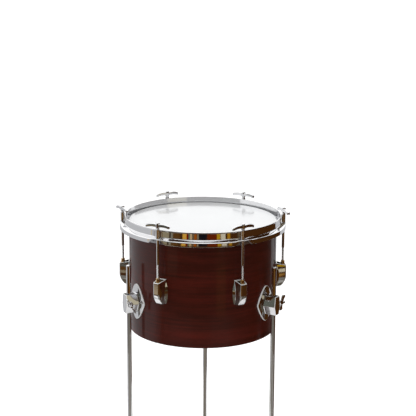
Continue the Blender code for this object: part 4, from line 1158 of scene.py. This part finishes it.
@dataclass
class LegBracket:
    """A leg bracket: domed oval plate, six-sided housing with a rimmed pocket, and a bolt boss."""

    plate_height: float = 73.0 * MM
    plate_width: float = 54.0 * MM
    plate_edge: float = 3.0 * MM
    plate_dome: float = 2.6 * MM
    housing_top: float = 18.2 * MM
    housing_height: float = 38.5 * MM
    over_leg: float = 9.4 * MM
    top_width: float = 16.2 * MM
    mid_width: float = 21.3 * MM
    low_width: float = 12.6 * MM
    root_width: float = 30.0 * MM
    root_low_width: float = 14.0 * MM
    pocket_depth: float = 2.5 * MM
    pocket_wall: float = 2.2 * MM
    leg_bore: float = 5.1 * MM
    bolt_bore: float = 3.3 * MM
    bolt_tilt: float = 15.0
    boss_radius: float = 6.0 * MM
    boss_reach: float = 15.5 * MM
    columns: int = 48

    def bolt_place(self) -> Placement:
        """Return the wing bolt's placement beside the leg, with Z running out along the bolt."""
        outward = Matrix.Rotation(math.radians(-90.0), 4, "Y")
        tilt = Matrix.Rotation(math.radians(-self.bolt_tilt), 4, "Z")
        drop = LAYOUT.bolt_height - LAYOUT.bracket_middle
        return Matrix.Translation((0.0, LAYOUT.leg_stand_off, drop)) @ tilt @ outward

    def _plate_reach(self, offset: float) -> float:
        """Return half of the pointed oval's height beside its middle."""
        share = min(1.0, abs(offset) / (self.plate_width / 2))
        return self.plate_height / 2 * (1.0 - 0.93 * share ** 1.8)

    def _takes_painted_highlight(self, middle: Vector, normal: Vector) -> bool:
        """Tell whether a face lies on the plate's rim or on the bevel round the housing's outer face, which get the
        painted highlight.
        """
        outer = LAYOUT.leg_stand_off + self.over_leg
        if middle.y > outer - 0.75 * MM:
            return 0.2 < normal.y < 0.985
        near = abs(middle.z) > self._plate_reach(middle.x) - 1.5 * MM or abs(middle.x) > self.plate_width / 2 - 0.6 * MM
        low = middle.y < LAYOUT.shell_depth_at(middle.x) + self.plate_edge + 0.8 * MM
        return near and low and -0.3 < normal.y < 0.85

    def plate_mesh(self) -> bpy.types.Mesh:
        """Loft the domed plate along the tangent, with rounded edges and its back on the shell."""
        sections = []
        for index in range(self.columns + 1):
            share = -math.cos(math.pi * index / self.columns)
            offset = share * self.plate_width / 2
            tall = self._plate_reach(offset)
            back = LAYOUT.shell_depth_at(offset)
            crown = self.plate_dome * (1.0 - share * share)
            face = back + self.plate_edge
            ridge = 0.8 * MM
            corners = [(back, -tall, 0.2 * MM), (face, -tall, ridge), (face + 0.75 * crown, -0.55 * tall, 9 * MM),
                       (face + crown, 0.0, 9 * MM), (face + 0.75 * crown, 0.55 * tall, 9 * MM),
                       (face, tall, ridge), (back, tall, 0.2 * MM)]
            sections.append([(offset, y, z) for y, z in MeshWorks.rounded(corners, steps=4)])
        return MeshWorks.lofted("plate", sections)

    def housing_mesh(self) -> bpy.types.Mesh:
        """Loft the six-sided housing outward, with eased edges and a bevelled outer face."""
        bottom = self.housing_top - self.housing_height
        ridge = self.housing_top - 0.53 * self.housing_height
        outer = LAYOUT.leg_stand_off + self.over_leg
        sections = []
        for reach, middle, low, inset in ((self.plate_edge / 2, self.root_width, self.root_low_width, 0.0),
                                          (outer - 0.7 * MM, self.mid_width, self.low_width, 0.0),
                                          (outer - 0.2 * MM, self.mid_width - 0.4 * MM, self.low_width, 0.2 * MM),
                                          (outer, self.mid_width - 1.6 * MM, self.low_width, 0.8 * MM)):
            side = [(self.top_width / 2 - inset, self.housing_top - inset, 0.7 * MM), (middle / 2, ridge, 0.7 * MM),
                    (low / 2 - inset, bottom + inset, 0.7 * MM)]
            corners = side + [(-x, z, radius) for x, z, radius in reversed(side)]
            sections.append([(x, reach, z) for x, z in MeshWorks.rounded(corners, steps=3)])
        return MeshWorks.lofted("housing", sections)

    def mesh(self) -> bpy.types.Mesh:
        """Cast the bracket: join the housing and the boss to the plate, and bore it."""
        here = Matrix.Identity(4)
        boss = MeshWorks.turned("boss", [(0.0, 4.8 * MM), (self.boss_radius, 4.8 * MM),
                                         (self.boss_radius, self.boss_reach - 0.6 * MM),
                                         (self.boss_radius - 0.6 * MM, self.boss_reach), (0.0, self.boss_reach)], 40)
        whole = MeshWorks.carved(self.plate_mesh(), [(self.housing_mesh(), here), (boss, self.bolt_place())], "UNION")
        reach = LAYOUT.leg_stand_off
        drop = self.housing_height
        leg_bore = MeshWorks.turned("leg_bore", [(0.0, -drop), (self.leg_bore, -drop), (self.leg_bore, drop), (0.0, drop)], 40)
        bolt_bore = MeshWorks.turned("bolt_bore", [(0.0, 0.0), (self.bolt_bore, 0.0), (self.bolt_bore, 26 * MM),
                                                   (0.0, 26 * MM)], 32)
        tools = [(self._pocket_mesh(), here), (leg_bore, Matrix.Translation((0.0, reach, 0.0))),
                 (bolt_bore, self.bolt_place())]
        return MeshWorks.marked(MeshWorks.shaded(MeshWorks.carved(whole, tools), 28.0), self._takes_painted_highlight)

    def _pocket_mesh(self) -> bpy.types.Mesh:
        """Return the cutter of the rimmed pocket in the housing's top."""
        half = self.top_width / 2 - self.pocket_wall
        start = self.plate_edge + self.plate_dome + self.pocket_wall
        end = LAYOUT.leg_stand_off + self.over_leg - self.pocket_wall
        corners = [(half, start, 1.5 * MM), (half, end, 1.5 * MM), (-half, end, 1.5 * MM), (-half, start, 1.5 * MM)]
        ring = MeshWorks.rounded(corners, steps=4)
        low = self.housing_top - self.pocket_depth
        high = self.housing_top + self.pocket_depth
        return MeshWorks.lofted("pocket", [[(x, y, z) for x, y in ring] for z in (low, high)])

    def build(self, shelf: FinishShelf, fitter: Fitter) -> None:
        """Fit a bracket at every leg."""
        mesh = self.mesh()
        for number, azimuth in enumerate(LAYOUT.leg_azimuths, start=1):
            # The second material paints a highlight on the plate's rim and the housing's bevel.
            fitter.fit(f"bracket_casting_{number}", mesh, [shelf.chrome, shelf.rim], Body.DRUM.name_for(),
                       [f"leg_bracket_{number}"], LAYOUT.on_shell(azimuth, LAYOUT.bracket_middle))


@dataclass
class WingBolt:
    """A cast wing bolt: stud, hub, ball tip and two rounded wings."""

    bracket: LegBracket
    stud_radius: float = 3.0 * MM
    stud_end: float = 5.1 * MM
    hub_start: float = 16.5 * MM
    hub_radius: float = 4.4 * MM
    hub_length: float = 10.0 * MM
    tip_radius: float = 3.2 * MM
    tip_length: float = 5.0 * MM
    wing_radius: float = 18.6 * MM
    wing_start: float = 19.5 * MM
    wing_length: float = 10.0 * MM
    wing_dip: float = 4.0 * MM
    wing_thickness: float = 2.8 * MM
    turns: tuple[float, float, float] = (10.0, 30.0, 15.0)

    def mesh(self) -> bpy.types.Mesh:
        """Return the bolt about its own axis."""
        end = self.hub_start + self.hub_length
        tip = end + self.tip_length
        profile = MeshWorks.rounded([
            (0.0, self.stud_end, 0.0), (self.stud_radius, self.stud_end, 0.4 * MM),
            (self.stud_radius, self.hub_start, 0.3 * MM), (self.hub_radius, self.hub_start, 0.5 * MM),
            (self.hub_radius, end - 2.0 * MM, 1.0 * MM), (0.7 * self.tip_radius, end, 0.8 * MM),
            (self.tip_radius, end + 0.3 * self.tip_length, 1.4 * MM), (self.tip_radius, tip - 1.2 * MM, 1.6 * MM),
            (0.5 * self.tip_radius, tip, 1.2 * MM), (0.0, tip, 0.0)], steps=5, closed=False)
        stud = MeshWorks.turned("stud", profile, 40)
        reach = self.wing_radius
        start = self.wing_start
        stop = start + self.wing_length
        side = [(0.55 * reach, start, 2 * MM), (0.92 * reach, start + 0.8 * MM, 3 * MM),
                (reach, start + 0.55 * self.wing_length, 3 * MM), (0.86 * reach, stop, 3 * MM),
                (0.45 * reach, stop - 0.6 * self.wing_dip, 3 * MM)]
        corners = [(0.0, start, 0.5 * MM), *side, (0.0, stop - self.wing_dip, 0.5 * MM)]
        corners += [(-x, z, radius) for x, z, radius in reversed(side)]
        outline = MeshWorks.rounded(corners, steps=4)
        edge = self.wing_thickness / 2
        slices = []
        for y, pull in ((-edge, 0.7 * MM), (-0.55 * edge, 0.0), (0.55 * edge, 0.0), (edge, 0.7 * MM)):
            slices.append([self._pulled(x, y, z, pull) for x, z in outline])
        wings = MeshWorks.lofted("wings", slices)
        return MeshWorks.shaded(MeshWorks.carved(stud, [(wings, Matrix.Identity(4))], "UNION"), 38.0)

    def _pulled(self, x: float, y: float, z: float, pull: float) -> tuple[float, float, float]:
        """Pull a point of the wings towards their middle line, which rounds their rim."""
        middle = self.wing_start + self.wing_length / 2
        toward = Vector((math.copysign(0.6 * self.wing_radius, x) - x, middle - z))
        if toward.length > 1e-9:
            toward = toward.normalized() * pull
        return (x + toward.x, y, z + toward.y)

    def build(self, shelf: FinishShelf, fitter: Fitter) -> None:
        """Fit a wing bolt in every bracket."""
        mesh = self.mesh()
        for number, (azimuth, turn) in enumerate(zip(LAYOUT.leg_azimuths, self.turns), start=1):
            upright = Matrix.Rotation(math.radians(turn), 4, "Z")
            place = LAYOUT.on_shell(azimuth, LAYOUT.bracket_middle) @ self.bracket.bolt_place() @ upright
            fitter.fit(f"clamp_bolt_{number}", mesh, [shelf.chrome], Body.CLAMP.name_for(number),
                       [f"wing_bolt_{number}"], place)


@dataclass
class LegUnit:
    """A straight chromed leg in its tapered rubber foot."""

    radius: float = 4.8 * MM
    top: float = 484.0 * MM
    bottom: float = 8.3 * MM
    foot_radius: float = 13.0 * MM
    foot_top: float = 7.4 * MM
    foot_height: float = 32.0 * MM
    sole: float = 8.0 * MM

    def leg_mesh(self) -> bpy.types.Mesh:
        """Return the leg rod with chamfered ends."""
        steps = [(self.radius, self.bottom + (self.top - self.bottom) * share / 8, 0.0) for share in range(1, 8)]
        profile = MeshWorks.rounded([
            (0.0, self.bottom, 0.0), (self.radius - 1.0 * MM, self.bottom, 0.2 * MM),
            (self.radius, self.bottom + 1.0 * MM, 0.3 * MM), *steps, (self.radius, self.top - 1.0 * MM, 0.4 * MM),
            (self.radius - 1.0 * MM, self.top, 0.4 * MM), (0.0, self.top, 0.0)], steps=3, closed=False)
        return MeshWorks.shaded(MeshWorks.turned("leg", profile, 48), 40.0)

    def foot_mesh(self) -> bpy.types.Mesh:
        """Return the foot: a rounded sole, a grooved flank and a rolled lip round the leg."""
        bore = self.radius + 0.15 * MM
        taper = 0.55 * self.foot_radius + 0.45 * self.foot_top
        profile = MeshWorks.rounded([
            (0.0, 0.0, 0.0), (self.foot_radius - 2.0 * MM, 0.0, 0.8 * MM), (self.foot_radius, 2.0 * MM, 1.4 * MM),
            (self.foot_radius, 5.2 * MM, 0.4 * MM), (self.foot_radius - 0.7 * MM, 5.8 * MM, 0.3 * MM),
            (self.foot_radius - 0.7 * MM, 6.6 * MM, 0.3 * MM), (self.foot_radius - 0.2 * MM, 7.2 * MM, 0.6 * MM),
            (taper, self.foot_height / 2, 6.0 * MM), (self.foot_top, self.foot_height - 3.0 * MM, 2.0 * MM),
            (self.foot_top, self.foot_height - 0.9 * MM, 0.8 * MM),
            (self.foot_top - 0.9 * MM, self.foot_height, 0.6 * MM), (bore, self.foot_height, 0.4 * MM),
            (bore, self.sole, 0.2 * MM), (0.0, self.sole, 0.0)], steps=4, closed=False)
        return MeshWorks.shaded(MeshWorks.turned("foot", profile, 64), 40.0)

    def build(self, shelf: FinishShelf, fitter: Fitter) -> None:
        """Fit every leg and foot."""
        leg = self.leg_mesh()
        foot = self.foot_mesh()
        for number, azimuth in enumerate(LAYOUT.leg_azimuths, start=1):
            place = LAYOUT.on_shell(azimuth, 0.0, LAYOUT.leg_stand_off)
            body = Body.LEG.name_for(number)
            fitter.fit(f"leg_rod_{number}", leg, [shelf.chrome], body, [f"leg_{number}"], place)
            fitter.fit(f"foot_cup_{number}", foot, [shelf.rubber], body, [f"rubber_foot_{number}"], place)


class ScrewRow(Enum):
    """The rows of screws inside the shell: node family, level, height, azimuth, count and bite."""

    LUG_UPPER = ("lug", "upper", 435.05 * MM, 0.0, 6, 4.6 * MM)
    LUG_LOWER = ("lug", "lower", 424.05 * MM, 0.0, 6, 4.6 * MM)
    BRACKET_UPPER = ("bracket", "upper", 431.5 * MM, 90.0, 3, 3.0 * MM)
    BRACKET_LOWER = ("bracket", "lower", 386.5 * MM, 90.0, 3, 3.0 * MM)


@dataclass
class ShellScrews:
    """Flanged screws that hold the hardware from inside the shell."""

    shank: float = 2.0 * MM
    head_radius: float = 4.0 * MM
    head_height: float = 2.6 * MM
    flange_radius: float = 5.2 * MM
    flange: float = 1.0 * MM
    gap: float = 0.6 * MM
    slots: list[float] = field(default_factory=lambda: [0.0, 90.0])

    def screw_mesh(self, bite: float) -> bpy.types.Mesh:
        """Return one screw along Z, its head towards -Z, with a cross recess."""
        seat = -LAYOUT.shell_wall - self.gap
        under = seat - self.flange
        end = under - self.head_height
        profile = MeshWorks.rounded([
            (0.0, end, 0.0), (self.head_radius, end, 1.2 * MM), (self.head_radius, under, 0.2 * MM),
            (self.flange_radius, under, 0.3 * MM), (self.flange_radius, seat, 0.2 * MM),
            (self.shank, seat, 0.2 * MM), (self.shank, bite, 0.4 * MM), (0.0, bite, 0.0)], steps=2, closed=False)
        screw = MeshWorks.turned("screw", profile, 24)
        cutters = []
        for angle in self.slots:
            half = 2.4 * MM
            ring = [(half, 0.45 * MM), (-half, 0.45 * MM), (-half, -0.45 * MM), (half, -0.45 * MM)]
            blade = MeshWorks.lofted("blade", [[(x, y, z) for x, y in ring] for z in (end - 1.0 * MM, end + 1.3 * MM)])
            cutters.append((blade, Matrix.Rotation(math.radians(angle), 4, "Z")))
        return MeshWorks.carved(screw, cutters)

    def holes(self) -> list[Placement]:
        """Return the placement of every screw about the drum's axis, with Z outward."""
        lie = Matrix.Rotation(math.radians(-90.0), 4, "X")
        back = LAYOUT.axis.inverted()
        places = []
        for row in ScrewRow:
            _, _, height, azimuth, count, _ = row.value
            for step in range(count):
                places.append(back @ LAYOUT.on_shell(azimuth + 360.0 * step / count, height) @ lie)
        return places

    def build(self, shelf: FinishShelf, fitter: Fitter) -> None:
        """Set each row of screws round the shell with a node tree, and fit it."""
        for row in ScrewRow:
            family, level, height, azimuth, count, bite = row.value
            model = MeshWorks.solid("screw_model", self.screw_mesh(bite))
            pattern = PatternTree(f"{family}_screws_{level}")
            screw = pattern.add_input("Screw", "NodeSocketObject", model)
            number = pattern.add_input("Count", "NodeSocketInt", count)
            radius = pattern.add_input("Shell radius", "NodeSocketFloat", LAYOUT.shell_radius)
            level_height = pattern.add_input("Height", "NodeSocketFloat", height)
            phase = pattern.add_input("First azimuth", "NodeSocketFloat", math.radians(azimuth))
            ring = pattern.node("GeometryNodeMeshCircle", {"Vertices": number, "Radius": radius})
            outward = pattern.node("FunctionNodeAlignRotationToVector",
                                   {"Vector": pattern.node("GeometryNodeInputPosition").outputs[0]}, axis="Z")
            info = pattern.node("GeometryNodeObjectInfo", {"Object": screw})
            set_out = pattern.node("GeometryNodeInstanceOnPoints", {
                "Points": ring.outputs["Mesh"], "Instance": info.outputs["Geometry"],
                "Rotation": outward.outputs["Rotation"]})
            lift = pattern.node("ShaderNodeCombineXYZ", {"Z": level_height})
            turn = pattern.node("ShaderNodeCombineXYZ", {"Z": phase})
            moved = pattern.node("GeometryNodeTransform", {"Geometry": set_out.outputs[0],
                                                           "Translation": lift.outputs[0],
                                                           "Rotation": turn.outputs[0]})
            mesh = MeshWorks.shaded(pattern.run(moved.outputs[0], shelf.zinc), 35.0)
            bpy.data.objects.remove(model, do_unlink=True)
            nodes = [f"{family}_screw_{index}_{level}" for index in range(1, count + 1)]
            fitter.fit(f"{family}_screws_{level}", mesh, [shelf.zinc], Body.DRUM.name_for(), nodes,
                       LAYOUT.axis)


@dataclass(frozen=True)
class StudioCard:
    """A card round the drum: colour, arc in degrees to the right of the front, and heights."""

    color: tuple[float, float, float]
    start: float
    end: float
    radius: float
    depth: float = 0.0
    low: float = 0.002
    high: float = 0.002


def studio_cards() -> dict[str, StudioCard]:
    """Return the cards: warm dark ones in front, gray ones at the sides and narrow coloured ones."""
    dark = (0.058, 0.021, 0.005)
    wall = (0.040, 0.015, 0.005)
    gray = (0.58, 0.585, 0.60)
    cards = {
        "leg_floor_card": StudioCard((0.15, 0.13, 0.108), -14.0, 14.0, 0.40, depth=0.6),
        "left_leg_card": StudioCard((0.34, 0.325, 0.295), -46.0, -14.0, 0.40, depth=0.6),
        "right_leg_card": StudioCard((0.34, 0.325, 0.295), 14.0, 46.0, 0.40, depth=0.6),
        "left_foot_card": StudioCard((0.11, 0.095, 0.07), -60.0, -46.0, 0.40, depth=0.6),
        "right_foot_card": StudioCard((0.11, 0.095, 0.07), 46.0, 60.0, 0.40, depth=0.6),
        "rear_leg_card": StudioCard((0.21, 0.188, 0.155), 100.0, 260.0, 0.155, low=0.004, high=0.30),
        "right_side_lug_card": StudioCard((0.33, 0.165, 0.035), 22.0, 36.0, 1.35, depth=0.55, low=0.006, high=0.006),
        "left_side_lug_card": StudioCard((0.25, 0.20, 0.13), -52.0, -36.0, 1.75, depth=0.35, low=0.006, high=0.006),
        "left_lug_card": StudioCard((0.36, 0.28, 0.18), -69.0, -58.0, 1.42, depth=0.24, low=0.006, high=0.006),
        "front_floor_card": StudioCard(dark, -60.0, 132.0, 1.0, depth=1.6),
        "front_wall_card": StudioCard(wall, -59.0, 132.0, 2.6, high=3.6),
        "side_floor_card": StudioCard(gray, 132.0, 284.0, 1.0, depth=1.6),
        "side_wall_card": StudioCard(gray, 132.0, 301.0, 2.6, high=0.9),
        "inner_floor_card": StudioCard(gray, 132.0, 296.0, 0.46, depth=0.54),
        "right_inner_card": StudioCard(dark, 64.0, 132.0, 0.46, depth=0.54),
        "right_facet_card": StudioCard((0.115, 0.122, 0.102), -58.0, -26.0, 2.1, low=0.12, high=1.5),
        "left_facet_card": StudioCard((0.51, 0.456, 0.33), 28.0, 60.0, 2.1, low=0.42, high=1.5),
    }
    for step in range(6):
        share = (step + 0.5) / 6
        blend = tuple(near + (far - near) * share for near, far in zip(dark, gray))
        start = -60.0 - 16.0 * step / 6
        cards[f"blend_card_{step + 1}"] = StudioCard(blend, start - 16.0 / 6, start, 1.0, depth=1.6)
    far_part = (((0.12, 0.105, 0.09), -56.0, -46.0), ((0.19, 0.178, 0.155), -46.0, -14.0),
                ((0.14, 0.122, 0.10), -14.0, 14.0), ((0.19, 0.178, 0.155), 14.0, 40.0),
                ((0.14, 0.12, 0.095), 40.0, 48.0), ((0.09, 0.065, 0.045), 48.0, 58.0))
    for number, (color, start, end) in enumerate(far_part, start=1):
        cards[f"far_leg_card_{number}"] = StudioCard(color, start, end, 1.0, depth=0.34, low=0.004, high=0.004)
    narrow = (((0.27, 0.225, 0.14), -57.0, -45.8), ((0.012, 0.011, 0.008), -45.0, -43.2),
              ((0.24, 0.22, 0.16), -43.2, -40.4), ((0.10, 0.042, 0.008), -40.4, -30.0),
              ((0.62, 0.33, 0.05), -26.1, -20.4), ((0.15, 0.001, 0.002), -20.4, -18.2),
              ((0.12, 0.16, 0.10), -17.6, -15.5), ((0.56, 0.39, 0.21), -15.4, -12.9),
              ((0.12, 0.085, 0.045), -12.9, -9.8), ((0.32, 0.075, 0.004), -9.8, -6.5),
              ((0.24, 0.20, 0.13), -5.6, -3.7), ((0.007, 0.007, 0.010), -3.5, 7.7),
              ((0.13, 0.016, 0.002), 8.1, 21.3), ((0.42, 0.24, 0.01), 21.3, 26.1),
              ((0.56, 0.50, 0.37), 26.8, 33.5), ((0.38, 0.18, 0.01), 36.2, 40.5),
              ((0.075, 0.062, 0.037), 51.2, 53.0), ((0.018, 0.011, 0.003), 53.0, 57.5),
              ((0.62, 0.50, 0.32), -76.0, -74.0))
    for number, (color, start, end) in enumerate(narrow, start=1):
        cards[f"narrow_card_{number}"] = StudioCard(color, start, end, 2.17, high=0.10)
    return cards


@dataclass
class Studio:
    """The pale floor, the soft lights, the dark cards that metal reflects, and the camera."""

    focal_pixels: float = 1221.3
    frame_pixels: float = 416.0
    sensor: float = 36.0
    distance: float = 2.4253
    height_over_rim: float = 0.5804
    pitch: float = 0.23031
    yaw: float = 0.00427
    roll: float = -0.00482
    drum_turn: float = 1.995
    cards: dict[str, StudioCard] = field(default_factory=studio_cards)

    def build(self) -> None:
        """Set the stage, the lights and the camera."""
        self._place_camera()
        self._lay_floor()
        self._set_world()
        self._hang_lights()
        self._stand_cards()
        bpy.context.scene.view_settings.view_transform = "Standard"

    def _place_camera(self) -> None:
        """Place the camera in front of the drum, a little above its rim."""
        data = bpy.data.cameras.new("studio_camera")
        data.sensor_fit = "HORIZONTAL"
        data.sensor_width = self.sensor
        data.lens = self.focal_pixels / self.frame_pixels * self.sensor
        data.clip_end = 50.0
        camera = bpy.data.objects.new("studio_camera", data)
        bpy.context.scene.collection.objects.link(camera)
        cp, sp = math.cos(self.pitch), math.sin(self.pitch)
        cy, sy = math.cos(self.yaw), math.sin(self.yaw)
        forward = Vector((sy * cp, cy * cp, -sp))
        right = Vector((cy, -sy, 0.0))
        down = forward.cross(right)
        cr, sr = math.cos(self.roll), math.sin(self.roll)
        across = right * cr + down * sr
        lower = down * cr - right * sr
        turn = Matrix((across, -lower, -forward)).transposed().to_4x4()
        place = Matrix.Translation((0.0, -self.distance, LAYOUT.rim_height + self.height_over_rim)) @ turn
        round_drum = Matrix.Rotation(math.radians(self.drum_turn), 4, "Z")
        camera.matrix_world = LAYOUT.axis @ round_drum @ place
        bpy.context.scene.camera = camera

    def _lay_floor(self) -> None:
        """Lay a wide pale floor that keeps the drum's shadow."""
        shape = bmesh.new()
        bmesh.ops.create_circle(shape, cap_ends=True, segments=96, radius=9.0)
        mesh = bpy.data.meshes.new("studio_floor")
        shape.to_mesh(mesh)
        shape.free()
        floor = MeshWorks.solid("studio_floor", mesh)
        floor.location.z = -0.4 * MM
        material = bpy.data.materials.new("pale_floor")
        material.use_nodes = True
        nodes = material.node_tree.nodes
        links = material.node_tree.links
        shader = nodes["Principled BSDF"]
        shader.inputs["Base Color"].default_value = (0.90, 0.90, 0.90, 1.0)
        shader.inputs["Roughness"].default_value = 0.8
        path = nodes.new("ShaderNodeLightPath")
        shader.inputs["Emission Color"].default_value = (1.0, 1.0, 1.0, 1.0)
        seen = nodes.new("ShaderNodeMath")
        seen.operation = "MULTIPLY"
        seen.inputs[1].default_value = 0.28
        links.new(path.outputs["Is Camera Ray"], seen.inputs[0])
        links.new(seen.outputs[0], shader.inputs["Emission Strength"])
        mesh.materials.append(material)

    def _set_world(self) -> None:
        """Surround the drum with an even white room, pure white where the camera sees it."""
        world = bpy.data.worlds.new("studio_room")
        world.use_nodes = True
        nodes = world.node_tree.nodes
        links = world.node_tree.links
        background = nodes["Background"]
        background.inputs["Color"].default_value = (1.0, 1.0, 1.0, 1.0)
        path = nodes.new("ShaderNodeLightPath")
        either = nodes.new("ShaderNodeMath")
        either.operation = "MAXIMUM"
        links.new(path.outputs["Is Camera Ray"], either.inputs[0])
        links.new(path.outputs["Is Glossy Ray"], either.inputs[1])
        through = nodes.new("ShaderNodeMath")
        through.operation = "MAXIMUM"
        links.new(either.outputs[0], through.inputs[0])
        links.new(path.outputs["Is Transmission Ray"], through.inputs[1])
        level = nodes.new("ShaderNodeMapRange")
        level.inputs["To Min"].default_value = 0.80
        level.inputs["To Max"].default_value = 1.28
        links.new(through.outputs[0], level.inputs["Value"])
        links.new(level.outputs["Result"], background.inputs["Strength"])
        bpy.context.scene.world = world

    def _hang_lights(self) -> None:
        """Hang a large soft box over the drum and a weaker one at its front left."""
        for name, spot, size, watts in (("top_box", (-0.5, 0.7, 2.6), 2.2, 30.0),
                                        ("side_box", (-2.2, -1.6, 1.5), 1.4, 9.0)):
            data = bpy.data.lights.new(name, "AREA")
            data.shape = "SQUARE"
            data.size = size
            data.energy = watts
            lamp = bpy.data.objects.new(name, data)
            bpy.context.scene.collection.objects.link(lamp)
            lamp.location = spot
            lamp.visible_glossy = False
            aim = Vector((0.0, 0.0, 0.42)) - Vector(spot)
            lamp.rotation_euler = aim.to_track_quat("-Z", "Y").to_euler()

    def _stand_cards(self) -> None:
        """Lay and stand cards round the drum, which only reflections see."""
        for name, card in self.cards.items():
            item = self._curved_card(name, card)
            material = bpy.data.materials.new(name)
            material.use_nodes = True
            shader = material.node_tree.nodes["Principled BSDF"]
            shader.inputs["Base Color"].default_value = (0.0, 0.0, 0.0, 1.0)
            shader.inputs["Roughness"].default_value = 1.0
            shader.inputs["Specular IOR Level"].default_value = 0.0
            shader.inputs["Emission Color"].default_value = (*card.color, 1.0)
            shader.inputs["Emission Strength"].default_value = 1.0
            item.data.materials.append(material)
            item.visible_camera = False
            item.visible_diffuse = False
            item.visible_shadow = False
            item.visible_transmission = False

    @staticmethod
    def _curved_card(name: str, card: StudioCard) -> bpy.types.Object:
        """Make a card that follows an arc round the drum.

        Args:
            name: Name of the card.
            card: Its place and size.

        Returns:
            The card's object.
        """
        shape = bmesh.new()
        rows = []
        steps = max(2, round(abs(card.end - card.start) / 5.0))
        outer = card.radius + card.depth
        for step in range(steps + 1):
            angle = math.radians(-90.0 + card.start + (card.end - card.start) * step / steps)
            across, along = math.cos(angle), math.sin(angle)
            rows.append((shape.verts.new((card.radius * across, card.radius * along, card.low)),
                         shape.verts.new((outer * across, outer * along, card.high))))
        for (inner, far), (next_inner, next_far) in zip(rows, rows[1:]):
            shape.faces.new((inner, next_inner, next_far, far))
        mesh = bpy.data.meshes.new(name)
        shape.to_mesh(mesh)
        shape.free()
        return MeshWorks.solid(name, mesh)


LAYOUT = DrumLayout()


def main() -> None:
    """Build the drum and its studio."""
    logging.basicConfig(level=logging.INFO, format="%(name)s: %(message)s")
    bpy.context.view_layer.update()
    shelf = FinishShelf()
    fitter = Fitter()
    screws = ShellScrews()
    ShellAssembly().build(shelf, fitter, screws.holes())
    HeadAssembly().build(shelf, fitter)
    FlangedHoop().build(shelf, fitter)
    LugCasting().build(shelf, fitter)
    SwivelNut().build(shelf, fitter)
    TuningRod().build(shelf, fitter)
    bracket = LegBracket()
    bracket.build(shelf, fitter)
    WingBolt(bracket).build(shelf, fitter)
    LegUnit().build(shelf, fitter)
    screws.build(shelf, fitter)
    Studio().build()
    log.info("%d pieces fitted", fitter.fitted)


if __name__ == "__main__":
    main()
